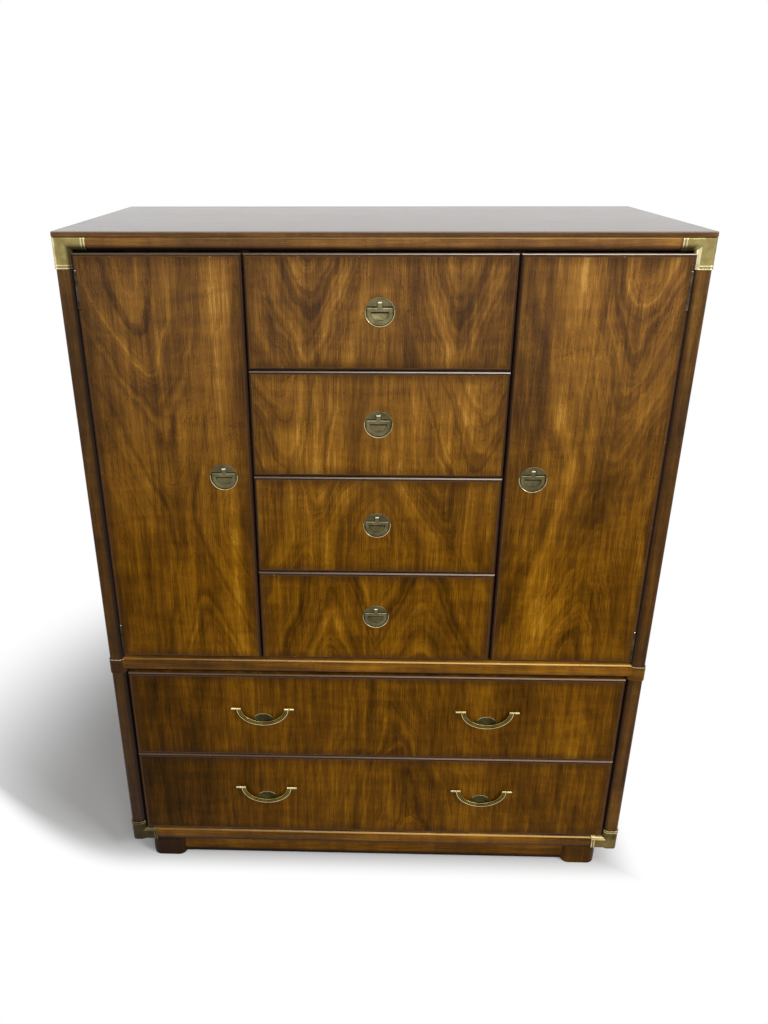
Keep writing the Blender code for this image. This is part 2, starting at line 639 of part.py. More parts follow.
def make_bail_pull(name, front, x, z, parent):
    """A bail between two posts, with a half-moon finger dish sunk behind it."""
    spot = CASE @ Matrix.Translation((x, 0, z)) @ FACE
    axis = spot @ Matrix.Translation((0, 0, BAIL_STANDOFF)) @ ALONG_X
    half = BAIL_BAND_W / 2
    outer = [(BAIL_EYE_X + half, BAIL_DROP + half), (BAIL_EYE_X - half, BAIL_DROP - half)]
    rings = [[(a * u, b * v) for u, v in arc((0, 0), 1, 180, 360, 20)] for a, b in outer]
    outline = rings[0] + rings[1][::-1]
    low = BAIL_STANDOFF - BAIL_BAND_T / 2
    bail = prism(f"{name}_bail", [outline], low, low + BAIL_BAND_T, spot, BRASS)
    for tag, side in SIDES.items():
        ends = sorted((side * (BAIL_EYE_X - half), side * (BAIL_EYE_X + half)))
        join(bail, cylinder(f"{name}_{tag}_eye", BAIL_BARREL_R, *ends, axis))
    for tag, side in SIDES.items():
        ends = sorted((side * (BAIL_EYE_X - BAIL_BAND_W), side * (BAIL_EYE_X + BAIL_BAND_W)))
        cut(bail, cylinder(f"{name}_{tag}_bore", BAIL_BORE_R, *ends, axis))

        tip = BAIL_OVERALL / 2
        shoulder = tip - BAIL_HEAD_L
        pin_end = BAIL_EYE_X - half
        profile = [(0, tip), (BAIL_BARREL_R, tip), (BAIL_BARREL_R, shoulder), (BAIL_PIN_R, shoulder)]
        profile += [(BAIL_PIN_R, pin_end), (0, pin_end)]
        facing = ALONG_X if side > 0 else Matrix.Rotation(-math.pi / 2, 4, "Y")
        head_axis = spot @ Matrix.Translation((0, 0, BAIL_STANDOFF)) @ facing
        stem_spot = spot @ Matrix.Translation((side * (tip + shoulder) / 2, 0, 0))
        stem = [(0, BAIL_STANDOFF), (BAIL_STEM_R, BAIL_STANDOFF), (BAIL_STEM_R, BAIL_FLANGE_T)]
        stem += [(BAIL_FLANGE_R, BAIL_FLANGE_T), (BAIL_FLANGE_R, -BAIL_STANDOFF), (0, -BAIL_STANDOFF)]
        join(front, turned(f"{name}_{tag}_stem", stem, stem_spot, SMALL_STEPS))
        join(front, turned(f"{name}_{tag}_head", profile, head_axis, SMALL_STEPS))

    dish = turned(f"{name}_dish", dish_profile(), spot @ Matrix.Translation((0, -DISH_BOTTOM, 0)), PULL_STEPS)
    below = [(-2 * DISH_R, -3 * DISH_R), (2 * DISH_R, -3 * DISH_R), (2 * DISH_R, -DISH_BOTTOM)]
    below += [(-2 * DISH_R, -DISH_BOTTOM)]
    cut(dish, prism(f"{name}_dish_floor", [below], -DISH_R, DISH_R, spot))
    cut(front, dish)
    turn = pivot(f"{name}_bail_axis", (x, FRONT_Y - BAIL_STANDOFF, z), parent)
    carry(turn, [bail])


def dish_profile():
    """A shallow bowl's section: flat in front of the face, round behind it."""
    steps = 5
    bowl = [(math.cos(math.pi / 2 * i / steps), math.sin(math.pi / 2 * i / steps)) for i in range(steps)]
    points = [(0, DISH_DEPTH / 2), (DISH_R, DISH_DEPTH / 2)]
    points += [(DISH_R * u, -DISH_DEPTH * v) for u, v in bowl]
    points += [(0, -DISH_DEPTH)]
    return points


def make_door(name, side):
    """A door with the moving halves of its hinges and its ring pull."""
    ends = sorted((side * DOOR_INNER, side * FRONT_OUTER))
    door = make_front(f"{name}_door", (ends[0], DOOR_LOW), (ends[1], DOOR_HIGH))
    axis = CASE @ Matrix.Translation((side * HINGE_X, HINGE_SET, 0))
    for place, low in HINGE_LOWS.items():
        high = low + HINGE_L
        tag = f"{name}_{place}_hinge"
        make_fixed_hinge(tag, side, low)
        beyond = HINGE_HEAD_H + FIT
        room = cylinder(f"{tag}_recess", HINGE_R + FIT, low - beyond, high + beyond, axis)
        middle = (low + KNUCKLE_L + FIT, high - KNUCKLE_L - FIT)
        web_x = sorted((side * (HINGE_X - HINGE_WEB_L), side * HINGE_X))
        web_low = (web_x[0], HINGE_SET, middle[0])
        web = box(f"{tag}_web", web_low, (web_x[1], HINGE_SET + HINGE_WEB_T, middle[1]))
        cut(door, room)
        join(door, web, cylinder(f"{tag}_knuckle", HINGE_R, *middle, axis))
        cut(door, cylinder(f"{tag}_bore", HINGE_BORE_R, low, high, axis))
    turn = pivot(f"{name}_door_axis", (side * HINGE_X, FRONT_Y + HINGE_SET, DOOR_LOW))
    carry(turn, [door])
    pull_z = (DOOR_LOW + DOOR_HIGH) / 2 + DOOR_PULL_RISE
    make_ring_pull(f"{name}_door_pull", door, side * (DOOR_INNER + DOOR_PULL_INSET), pull_z, turn)


def make_drawer_box(name, half_width, low, front_high):
    """An open box behind a drawer front."""
    bottom = low + BOX_RISE
    top = front_high - BOX_DROP
    start = FRONT_T + FIT
    end = BACK_Y - BOX_BACK_CLEAR
    tray = box(name, (-half_width, start, bottom), (half_width, end, top), INNER_WOOD)
    inner = half_width - BOX_WALL
    low_corner = (-inner, start + BOX_WALL, bottom + BOX_FLOOR_T)
    cut(tray, box(f"{name}_hollow", low_corner, (inner, end - BOX_WALL, top + BOX_WALL)))
    return tray


def make_small_drawer(number, low):
    """One of the four drawers between the doors, counted from the top."""
    name = f"small_drawer_{number}"
    half = PARTITION_X - REVEAL / 2
    high = low + SMALL_H
    front = make_front(f"{name}_front", (-half, low), (half, high))
    tray = make_drawer_box(f"{name}_box", PARTITION_X - PARTITION_T / 2 - RUN, low, high)
    slide = pivot(f"{name}_slide", (0, FRONT_Y, low))
    carry(slide, [front, tray])
    make_ring_pull(f"{name}_pull", front, 0, (low + high) / 2 + PULL_RISE, slide)


def make_long_drawer(place, low):
    """One of the two full-width drawers, with its two bail pulls."""
    name = f"{place}_long_drawer"
    high = low + LONG_H
    front = make_front(f"{name}_front", (-FRONT_OUTER, low), (FRONT_OUTER, high))
    tray = make_drawer_box(f"{name}_box", FRONT_OUTER - BOX_SIDE_CLEAR, low, high)
    slide = pivot(f"{name}_slide", (0, FRONT_Y, low))
    carry(slide, [front, tray])
    for tag, side in SIDES.items():
        make_bail_pull(f"{name}_{tag}", front, side * BAIL_X, (low + high) / 2 + BAIL_RISE, slide)


def shade_round_pieces():
    for obj in PARTS.objects:
        if obj.type == "MESH":
            obj.data.shade_smooth()
            obj.data.set_sharp_from_angle(angle=math.radians(30))


def build():
    make_case_boards()
    make_feet_and_plinth()
    for name in RAILS:
        make_rail(name)
    for name, side in SIDES.items():
        make_side(name, side)
        make_post(name, side)
        make_door(name, side)
        for place in ("top", "base"):
            make_brass_corner(f"{place}_{name}_brass_corner", side, place)
    for row in range(SMALL_DRAWERS):
        make_small_drawer(SMALL_DRAWERS - row, UPPER_LOW + REVEAL + row * (SMALL_H + REVEAL))
    make_long_drawer("lower", LOWER_LOW + REVEAL)
    make_long_drawer("upper", LOWER_LOW + 2 * REVEAL + LONG_H)
    shade_round_pieces()


build()
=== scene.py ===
# %% [markdown]
# A gentleman's chest: two doors and four small drawers over two long drawers, in figured veneer with brass
# fittings. The imported model is loaded first. It says where every piece of the chest is, in metres, so
# nothing has to be fitted by eye.

import math

import bmesh
import bpy
from mathutils import Matrix, Vector


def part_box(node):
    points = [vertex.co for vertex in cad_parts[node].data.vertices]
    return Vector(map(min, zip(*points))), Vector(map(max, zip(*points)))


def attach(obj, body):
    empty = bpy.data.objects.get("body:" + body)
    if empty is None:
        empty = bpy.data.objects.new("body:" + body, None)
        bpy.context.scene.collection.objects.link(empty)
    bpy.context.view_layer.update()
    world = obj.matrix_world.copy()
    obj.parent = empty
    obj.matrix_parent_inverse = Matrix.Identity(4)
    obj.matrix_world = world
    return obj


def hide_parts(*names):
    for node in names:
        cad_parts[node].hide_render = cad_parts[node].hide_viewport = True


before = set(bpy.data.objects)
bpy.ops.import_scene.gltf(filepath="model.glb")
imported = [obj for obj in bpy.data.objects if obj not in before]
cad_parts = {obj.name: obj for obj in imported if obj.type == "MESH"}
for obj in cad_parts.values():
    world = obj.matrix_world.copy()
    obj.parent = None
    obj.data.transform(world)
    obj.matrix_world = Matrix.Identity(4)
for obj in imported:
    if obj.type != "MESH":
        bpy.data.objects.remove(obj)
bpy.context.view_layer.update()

# %% [markdown]
# The camera stands at eye height, close in front of the chest, and looks down at it. Its turn, lens and
# shift come from matching the corners of the fronts to the photograph, so that straight lines fall where
# they do there.

# %% The camera
camera = bpy.data.objects.new("camera", bpy.data.cameras.new("camera"))
bpy.context.scene.collection.objects.link(camera)
bpy.context.scene.camera = camera
camera.location = (-0.0221, -1.5112, 1.5173)
camera.rotation_euler = [math.radians(angle) for angle in (68.3943, 0.1644, 1.5454)]
camera.data.sensor_fit = "AUTO"
camera.data.sensor_width = 36
camera.data.lens = 27.30
camera.data.shift_x = 0.0377
camera.data.shift_y = -0.0687
camera.data.clip_start = 0.02
bpy.context.scene.view_settings.view_transform = "Standard"

# %% [markdown]
# Materials are built from nodes. Writing out each node would hide the idea behind it, so a Signal wraps one
# socket and lets Python's own operators add the Math nodes, and a Finish holds a material and adds any
# other node.

# %% Writing materials as sums
class Signal:
    """A number or a colour on its way through a material."""

    def __init__(self, finish, socket):
        self.finish = finish
        self.socket = socket

    def math(self, operation, *values):
        return self.finish.node("ShaderNodeMath", {"operation": operation}, dict(enumerate(values)))

    def __add__(self, other):
        return self.math("ADD", self, other)

    def __sub__(self, other):
        return self.math("SUBTRACT", self, other)

    def __rsub__(self, other):
        return self.math("SUBTRACT", other, self)

    def __mul__(self, other):
        return self.math("MULTIPLY", self, other)

    def __pow__(self, other):
        return self.math("POWER", self, other)

    def __abs__(self):
        return self.math("ABSOLUTE", self)

    __radd__ = __add__
    __rmul__ = __mul__

    def most(self, other):
        """The larger of two signals."""
        return self.math("MAXIMUM", self, other)

    def least(self, other):
        """The smaller of two signals."""
        return self.math("MINIMUM", self, other)

    def between(self, low, high, to_low=0.0, to_high=1.0):
        """The signal carried smoothly from low..high to to_low..to_high, and held there beyond."""
        settings = {"interpolation_type": "SMOOTHSTEP"}
        values = {"Value": self, "From Min": low, "From Max": high, "To Min": to_low, "To Max": to_high}
        return self.finish.node("ShaderNodeMapRange", settings, values)


# %% A material, and the one way in which nodes are added to it
class Finish:
    """A new material's nodes, or the nodes of a given tree."""

    def __init__(self, name, tree=None):
        if tree is None:
            self.material = bpy.data.materials.new(name)
            self.material.use_nodes = True
            tree = self.material.node_tree
        self.tree = tree
        self.tree.nodes.clear()

    def node(self, kind, settings=None, values=None, out=0):
        """Adds a node, with its settings first and then the values or links of its sockets."""
        node = self.tree.nodes.new(kind)
        for key, value in (settings or {}).items():
            if key == "stops":
                while len(node.color_ramp.elements) < len(value):
                    node.color_ramp.elements.new(1.0)
                for element, (position, tint) in zip(node.color_ramp.elements, value):
                    element.position = position
                    element.color = (*tint, 1)
            else:
                setattr(node, key, value)
        for key, value in (values or {}).items():
            socket = node.inputs[key]
            if isinstance(value, Signal):
                self.tree.links.new(value.socket, socket)
            elif socket.type == "RGBA" and len(value) == 3:
                socket.default_value = (*value, 1)
            else:
                socket.default_value = value
        return Signal(self, node.outputs[out]) if len(node.outputs) else None

    def point(self):
        return self.node("ShaderNodeTexCoord", out="Object")

    def parts(self, vector):
        """The three numbers of a vector."""
        return [self.node("ShaderNodeSeparateXYZ", {}, {"Vector": vector}, axis) for axis in "XYZ"]

    def seen(self, *kinds):
        """1 for rays of the kinds named, such as Camera, and 0 for those that only carry light."""
        rays = [self.node("ShaderNodeLightPath", out=f"Is {kind} Ray") for kind in kinds]
        return sum(rays[1:], rays[0]).least(1.0)

    def noise(self, point, scale, detail=2.0, roughness=0.5, distortion=0.0, offset=(0, 0, 0)):
        """Cloudy noise, from 0 to 1, with its own scale along each axis in features per metre."""
        scaled = self.node("ShaderNodeMapping", {}, {"Vector": point, "Location": offset, "Scale": scale})
        values = {"Vector": scaled, "Scale": 1.0, "Detail": detail, "Roughness": roughness}
        return self.node("ShaderNodeTexNoise", {}, {**values, "Distortion": distortion})

    def mix(self, factor, a, b):
        settings = {"data_type": "RGBA", "blend_type": "MIX", "clamp_factor": True}
        return self.node("ShaderNodeMix", settings, {0: factor, 6: a, 7: b}, 2)

    def bump(self, height, distance, strength):
        return self.node("ShaderNodeBump", {}, {"Height": height, "Distance": distance, "Strength": strength})

    def surface(self, **values):
        """Ends the material in one Principled surface: words_with_underscores name its sockets."""
        sockets = {key.replace("_", " "): value for key, value in values.items()}
        shader = self.node("ShaderNodeBsdfPrincipled", {}, sockets)
        self.node("ShaderNodeOutputMaterial", {}, {"Surface": shader})
        return self.material


def colour(red, green, blue):
    """A screen colour, 0 to 255, as the linear values that a material works in."""
    shares = [v / 255 for v in (red, green, blue)]
    return tuple(((v + 0.055) / 1.055) ** 2.4 if v > 0.04 else v / 12.92 for v in shares)


# %% [markdown]
# The studio is plain: a white floor, a white surround and three soft lamps. The surround shows white to the
# camera and in the gloss of the wood and brass, but lights the chest at a lower level, so that colours stay
# true.

# %% The surround
WHITE = (1, 1, 1)
SURROUND_LIGHT = 0.27
world = bpy.data.worlds.new("studio")
bpy.context.scene.world = world
world.use_nodes = True
sky = Finish("studio", world.node_tree)
level = sky.seen("Camera", "Glossy", "Transmission") * (1 - SURROUND_LIGHT) + SURROUND_LIGHT
glow = sky.node("ShaderNodeBackground", {}, {"Color": WHITE, "Strength": level})
sky.node("ShaderNodeOutputWorld", {}, {"Surface": glow})

# %% [markdown]
# The floor is matt paper, which takes the chest's shadow. It fades to the surround's white with distance:
# soon in front of the chest and on its right, and later on its left. Each pair of numbers says where a fade
# starts and ends.

# %% The floor
FLOOR_HALF = 15.0
FLOOR_GREY = 0.7
FADE_AROUND = (0.7, 1.3)
FADE_RIGHT = (0.49, 0.6)
FADE_FRONT = (0.205, 0.28)
PAST_LEFT = (0.53, 1.53)
SLANT = 0.55
floor_mesh = bpy.data.meshes.new("floor")
bm = bmesh.new()
bmesh.ops.create_grid(bm, x_segments=1, y_segments=1, size=FLOOR_HALF)
bm.to_mesh(floor_mesh)
bm.free()
floor = bpy.data.objects.new("floor", floor_mesh)
bpy.context.scene.collection.objects.link(floor)

paper = Finish("white_floor")
spread = paper.node("ShaderNodeVectorMath", {"operation": "LENGTH"}, {0: paper.point()}, "Value")
to_right, to_back = paper.parts(paper.point())[:2]
past_left = (to_right * -1).between(*PAST_LEFT)
in_front = (past_left * SLANT - to_back).between(*FADE_FRONT)
away = in_front.most(spread.between(*FADE_AROUND)).most(to_right.between(*FADE_RIGHT))
matt = paper.node("ShaderNodeBsdfDiffuse", {}, {"Color": (FLOOR_GREY, FLOOR_GREY, FLOOR_GREY)})
white = paper.node("ShaderNodeEmission", {}, {"Color": WHITE, "Strength": 1.0})
shown = paper.node("ShaderNodeMixShader", {}, {0: paper.seen("Camera", "Glossy") * away, 1: matt, 2: white})
paper.node("ShaderNodeOutputMaterial", {}, {"Surface": shown})
floor_mesh.materials.append(paper.material)

# %% The lamps
CHEST_MIDDLE = Vector((0, 0, 0.7))


def lamp(name, location, width, height, power):
    """A soft lamp at location that faces the middle of the chest."""
    data = bpy.data.lights.new(name, "AREA")
    data.shape = "RECTANGLE"
    data.size = width
    data.size_y = height
    data.energy = power
    lamp_object = bpy.data.objects.new(name, data)
    bpy.context.scene.collection.objects.link(lamp_object)
    towards = CHEST_MIDDLE - Vector(location)
    lamp_object.location = location
    lamp_object.rotation_euler = towards.to_track_quat("-Z", "Y").to_euler()
    print(f"{name}: {power} W at {towards.length:.1f} m")


lamp("key_lamp", (2.6, -1.9, 2.4), 1.0, 1.0, 70)
lamp("side_lamp", (-2.6, -1.6, 1.4), 0.4, 1.8, 11)
lamp("front_lamp", (0.3, -3.0, 2.5), 2.6, 0.5, 45)

# %% [markdown]
# Real edges are never knife sharp, and the light along them is what makes wood look solid. Every piece is
# therefore a block or a turned shape whose edges are bevelled, and a small helper joins the finished piece
# to its body.

# %% Blocks and their edges
FACE_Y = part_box("small_drawer_1_front")[0].y
SIDES = {"left": -1, "right": 1}
SHARP = math.radians(50)
print("The faces of the doors and drawers lie at y =", round(FACE_Y, 4))


def block(low, high):
    """A block between two corners."""
    bm = bmesh.new()
    bmesh.ops.create_cube(bm, size=1.0)
    low, high = Vector(low), Vector(high)
    bmesh.ops.scale(bm, vec=high - low, verts=bm.verts)
    bmesh.ops.translate(bm, vec=(low + high) / 2, verts=bm.verts)
    return bm


def bevelled(bm, edges, radius, segments, material):
    bmesh.ops.bevel(bm, geom=edges, offset=radius, segments=segments, profile=0.5, affect="EDGES",
                    material=material, clamp_overlap=True)


def soften(bm, test, radius, segments, material=-1):
    """Rounds, or with one segment bevels, the edges whose two ends pass the test."""
    edges = [edge for edge in bm.edges if test(edge.verts[0].co, edge.verts[1].co)]
    bevelled(bm, edges, radius, segments, material)


def soften_all(bm, radius, segments=2):
    """Rounds every sharp edge."""
    edges = [edge for edge in bm.edges if edge.is_manifold and edge.calc_face_angle(0.0) > SHARP]
    bevelled(bm, edges, radius, segments, -1)


# %% Choosing edges and faces
SAME = 1e-5


def at(**places):
    """A test for edges whose two ends both lie at the given x, y or z."""
    def lies(end):
        return all(abs(getattr(end, axis) - value) < SAME for axis, value in places.items())
    return lambda a, b: lies(a) and lies(b)


def stands_up(a, b):
    """A test for upright edges."""
    return abs(a.x - b.x) < SAME and abs(a.y - b.y) < SAME


def slotted(bm, choose):
    """Gives each face the material slot that choose says, from the face's normal and its middle."""
    for face in bm.faces:
        face.material_index = choose(face.normal, face.calc_center_median())
    return bm


def marked(bm, slot):
    """Gives all faces one material slot."""
    return slotted(bm, lambda normal, middle: slot)


# %% Cutting and joining
def mesh_of(name, bm):
    bmesh.ops.recalc_face_normals(bm, faces=bm.faces)
    mesh = bpy.data.meshes.new(name)
    bm.to_mesh(mesh)
    bm.free()
    return mesh


def cut_by(bm, tools):
    """The shape after each tool has been cut away from it."""
    base = bpy.data.objects.new("being_cut", mesh_of("being_cut", bm))
    spare = [base]
    bpy.context.scene.collection.objects.link(base)
    for tool in tools:
        helper = bpy.data.objects.new("tool", mesh_of("tool", tool))
        bpy.context.scene.collection.objects.link(helper)
        spare.append(helper)
        step = base.modifiers.new("step", "BOOLEAN")
        step.operation = "DIFFERENCE"
        step.solver = "EXACT"
        step.object = helper
    bpy.context.view_layer.update()
    result = bmesh.new()
    result.from_object(base, bpy.context.evaluated_depsgraph_get())
    for helper in spare:
        mesh = helper.data
        bpy.data.objects.remove(helper)
        bpy.data.meshes.remove(mesh)
    return result


def add(bm, other):
    """Puts a second shape into the same piece."""
    mesh = mesh_of("added", other)
    bm.from_mesh(mesh)
    bpy.data.meshes.remove(mesh)
    return bm


def trimmed(bm, point, normal):
    """Cuts away what lies beyond a plane, on the side to which normal points, and closes the cut."""
    geom = bm.verts[:] + bm.edges[:] + bm.faces[:]
    cut = bmesh.ops.bisect_plane(bm, geom=geom, plane_co=point, plane_no=normal, clear_outer=True, dist=1e-7)
    rim = [item for item in cut["geom_cut"] if isinstance(item, bmesh.types.BMEdge)]
    bmesh.ops.contextual_create(bm, geom=rim)
    return bm


# %% Round shapes, and places for them
def drum(radius, low, high, steps=32):
    """A round bar along z, from low to high."""
    bm = bmesh.new()
    bmesh.ops.create_cone(bm, cap_ends=True, segments=steps, radius1=radius, radius2=radius, depth=high - low)
    bmesh.ops.translate(bm, vec=(0, 0, (low + high) / 2), verts=bm.verts)
    return bm


def lathe(profile, steps=32):
    """A profile of (radius, height) points turned round z. Its two ends lie on the axis."""
    bm = bmesh.new()
    verts = [bm.verts.new((radius, 0, height)) for radius, height in profile]
    edges = [bm.edges.new(pair) for pair in zip(verts, verts[1:])]
    bmesh.ops.spin(bm, geom=verts + edges, axis=(0, 0, 1), angle=math.tau, steps=steps, use_merge=True)
    bmesh.ops.remove_doubles(bm, verts=bm.verts, dist=1e-6)
    return bm


def placed(bm, matrix):
    bmesh.ops.transform(bm, matrix=matrix, verts=bm.verts)
    return bm


def moved(x, y, z):
    return Matrix.Translation((x, y, z))


def on_face(x, z):
    """Puts a shape drawn flat, with z towards the viewer, on the front plane at x, z."""
    return moved(x, FACE_Y, z) @ Matrix.Rotation(math.pi / 2, 4, "X")


# %% Finished pieces
SMOOTH = math.radians(35)


def piece(name, bm, body, materials, replaces=()):
    """Finishes one piece: its mesh, its materials, the body it rides on and the nodes it stands for."""
    open_edges = sum(1 for edge in bm.edges if not edge.is_manifold)
    mesh = mesh_of(name, bm)
    mesh.shade_smooth()
    mesh.set_sharp_from_angle(angle=SMOOTH)
    for material in materials:
        mesh.materials.append(material)
    obj = bpy.data.objects.new(name, mesh)
    bpy.context.scene.collection.objects.link(obj)
    flats = obj.modifiers.new("flat faces stay flat", "WEIGHTED_NORMAL")
    flats.keep_sharp = True
    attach(obj, body)
    if replaces:
        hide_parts(*replaces)
    triangles = sum(len(polygon.vertices) - 2 for polygon in mesh.polygons)
    print(f"{name}: {triangles} triangles, {open_edges} open edges")


# %% [markdown]
# The wood is veneer with a vertical figure under clear varnish. Growth rings are cones round the heart of
# the tree, and a slice through them shows nested arches, which point down above the slice's middle and up
# below it. One number, reach, counts the rings outwards: noise along it gives uneven bands, and fibres and
# dark pores are laid over them.

# %% Colours of the wood: darker low on the chest, as painted shade, and greyer high on it, as a painted haze of reflection
WOOD_LOW_SHADED = [(0.0, colour(32, 17, 0)), (0.3, colour(62, 37, 0)), (0.55, colour(96, 59, 4)),
            (0.8, colour(132, 86, 8)), (1.0, colour(168, 118, 28))]
WOOD_HIGH_HAZED = [(0.0, colour(52, 36, 24)), (0.3, colour(78, 54, 34)), (0.55, colour(108, 74, 38)),
             (0.8, colour(146, 102, 46)), (1.0, colour(188, 142, 74))]
SHADE_TO_HAZE_HEIGHTS = (0.7, 1.4)
ARCH_TIP = 0.016
HEART_TIP = 0.002
TURNS = {"Z": (0, 0, 0), "X": (0, math.radians(90), 0), "Y": (math.radians(90), 0, 0)}


# %% A wood with growth rings, clouds, fibres and pores
class Wood(Finish):
    """Wood whose grain runs along one axis. heart is the x and z where the arches turn from down to up."""

    def __init__(self, name, heart, lean, fold=None, along="Z", tilt=0.0, seed=0.0, arches=1.0):
        super().__init__(name)
        turn = {"vector_type": "TEXTURE"}, {"Vector": self.point(), "Rotation": TURNS[along]}
        grain = self.node("ShaderNodeMapping", *turn)
        x, y, z = self.parts(grain)
        if fold is not None:
            x = abs(x - fold) + fold
        from_heart = self.node("ShaderNodeCombineXYZ", {}, {"X": x - heart[0], "Y": y, "Z": z - heart[1]})
        lean_over = {"Vector": from_heart, "Rotation": (0, math.radians(tilt), 0)}
        x, y, z = self.parts(self.node("ShaderNodeMapping", {}, lean_over))
        slow = self.noise(grain, (7, 7, 5), 2, 0.5, 0.3, (seed, 3, seed))
        bend = self.noise(grain, (30, 30, 14), 4, 0.6, 0.3, (seed, 7, 1))
        jag = self.noise(grain, (120, 120, 40), 2, 0.5, 0.0, (seed, 5, 2))
        across = (x * x + ARCH_TIP ** 2) ** 0.5
        along_heart = (z * z + HEART_TIP) ** 0.5
        reach = across - along_heart * lean + y * 0.3 + seed
        reach = reach + (slow - 0.5) * 0.07 + (bend - 0.5) * 0.016 + (jag - 0.5) * 0.004
        close = across.between(0.02, 0.14, 1.0, 0.4) * arches
        wide, narrow = self.rings(reach, 32, 2), self.rings(reach, 110, 4)
        patchy = self.noise(grain, (12, 12, 9), 2, 0.5, 0.0, (8, 1, seed)).between(0.42, 0.6)
        lines = abs(narrow - 0.46).between(0.0, 0.03, 1.0, 0.0) * patchy
        clouds = self.noise(grain, (13, 13, 4), 3, 0.55, 0.4, (2, seed, 5))
        ripple = self.noise(grain, (14, 14, 46), 2, 0.5, 0.5, (7, seed, 2))
        self.fibre = self.noise(grain, (850, 850, 14), 3, 0.6, 0.0, (1, 1, seed))
        streaks = self.noise(grain, (70, 70, 2.6), 5, 0.65, 0.1, (3, 1, seed))
        dashes = self.noise(grain, (1000, 1000, 240), 1, 0.5, 0.0, (seed, 2, 9))
        gather = self.noise(grain, (40, 40, 14), 2, 0.5, 0.0, (4, 4, seed))
        self.pores = (dashes + gather * 0.3).between(0.77, 0.88)
        tone = (clouds - 0.5) * 0.65 + (ripple - 0.5) * 0.3
        tone = tone + (streaks - 0.5) * 0.8 + (self.fibre - 0.5) * 0.75
        tone = tone + ((wide - 0.5) * 0.75 + (narrow - 0.5) * 0.5 - lines * 0.12) * close
        self.tone = tone + 0.53
        self.place = self.parts(self.point())

    def rings(self, reach, scale, detail):
        """Uneven bands along reach, about as many in a metre as scale says."""
        values = {"W": reach, "Scale": scale, "Detail": detail, "Roughness": 0.6}
        return self.node("ShaderNodeTexNoise", {"noise_dimensions": "1D"}, values)

    def stained(self, low=WOOD_LOW_SHADED, high=WOOD_HIGH_HAZED):
        """The wood's colour: its tone through the low ramp near the floor, darker as painted shade, and the
        high one near the top, greyer as a painted haze of reflection.
        """
        ramps = [self.node("ShaderNodeValToRGB", {"stops": stops}, {"Fac": self.tone})
                 for stops in (low, high)]
        base = self.mix(self.place[2].between(*SHADE_TO_HAZE_HEIGHTS), *ramps)
        return self.mix(self.pores * 0.55, base, tuple(v * 0.3 for v in low[0][1]))

    def varnished(self, base, gloss=0.22, shine=0.03, coat=0.0):
        """Ends the wood in varnish: fibres and pores roughen and dent it a little."""
        rough = (self.fibre - 0.5) * 0.1 + self.pores * 0.15 + gloss
        normal = self.bump(self.fibre * 0.3 - self.pores, 0.0001, 0.3)
        return self.surface(Base_Color=base, Roughness=rough, Normal=normal, Specular_IOR_Level=shine,
                            Coat_Weight=coat, Coat_Roughness=0.06)


# %% [markdown]
# Each front has a leaf of veneer of its own, so each gets its own heart, lean and seed. A fold mirrors the
# figure about an upright line, a tilt leans the arches over, and a band is a broad lighter or darker
# stripe; on a long drawer the dark band at the left end is painted shade. The darker glaze is the one that
# finishers rub in towards the edges.

# %% Veneer on the fronts
GLAZE_WIDTH = (0.004, 0.026)
GLAZE_DEPTH = 0.45
FIGURES = {
    "left_door": dict(heart=(-0.355, 0.84), lean=0.30, tilt=8, seed=1.0, arches=0.8,
                      band=(-0.272, 0.035, 0.16), lift=0.02),
    "right_door": dict(heart=(0.405, 0.88), lean=0.28, tilt=-4, seed=4.0,
                       band=(0.318, 0.05, 0.12), lift=0.05),
    "small_drawer_1": dict(heart=(0.13, 1.03), lean=0.28, fold=0.004, seed=2.0, lift=0.02),
    "small_drawer_2": dict(heart=(0.165, 0.90), lean=0.34, fold=0.012, tilt=-8, seed=3.0, lift=0.16),
    "small_drawer_3": dict(heart=(0.14, 0.80), lean=0.34, fold=0.006, tilt=10, seed=5.0, arches=0.8,
                           lift=0.09),
    "small_drawer_4": dict(heart=(0.088, 0.86), lean=0.34, fold=0.0, seed=6.0, arches=0.9, lift=0.08),
    # On each long drawer, the dark band at the left end is painted shade.
    "upper_long_drawer": dict(heart=(0.02, 0.60), lean=0.2, tilt=4, seed=7.0, arches=0.8,
                              band=(-0.5, 0.3, -0.16), lift=0.01),
    "lower_long_drawer": dict(heart=(0.05, 0.50), lean=0.2, tilt=4, seed=7.5, arches=0.8,
                              band=(-0.5, 0.35, -0.36), lift=0.03),
}


def front_node(name):
    """The node of a door, or of a drawer's front."""
    return name if name in ("left_door", "right_door") else f"{name}_front"


def inside(value, low, high):
    """How far a place lies inside the nearer of two limits."""
    return (high - low) / 2 - abs(value - (low + high) / 2)


def veneer(node, band=None, lift=0.0, **figure):
    """One leaf of veneer. band is (its middle, half its width, its tone). lift lightens the whole leaf."""
    w = Wood(f"veneer_{node}", **figure)
    low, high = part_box(node)
    x, _, z = w.place
    w.tone = w.tone + lift
    if band is not None:
        middle, half, more = band
        w.tone = w.tone + abs(x - middle).between(0.0, half, more, 0.0)
    edge = inside(x, low.x, high.x).least(inside(z, low.z, high.z)) + (w.fibre - 0.5) * 0.006
    glaze_and_painted_shade = edge.between(*GLAZE_WIDTH, GLAZE_DEPTH, 0.0)
    return w.varnished(w.mix(glaze_and_painted_shade, w.stained(), colour(44, 27, 14)))


veneers = {name: veneer(front_node(name), **figure) for name, figure in FIGURES.items()}
print("Leaves of veneer:", len(veneers))

# %% [markdown]
# The frame is plain wood, darker on the posts and lighter on the rails. Shade is painted into it where a
# moulding turns in or under, and towards the chest's left, so each wood may have a painted shade: a function
# that says, for a place on it, how dark it is there.

# %% Where shade is painted on the frame
OPEN_HALF = 0.5035


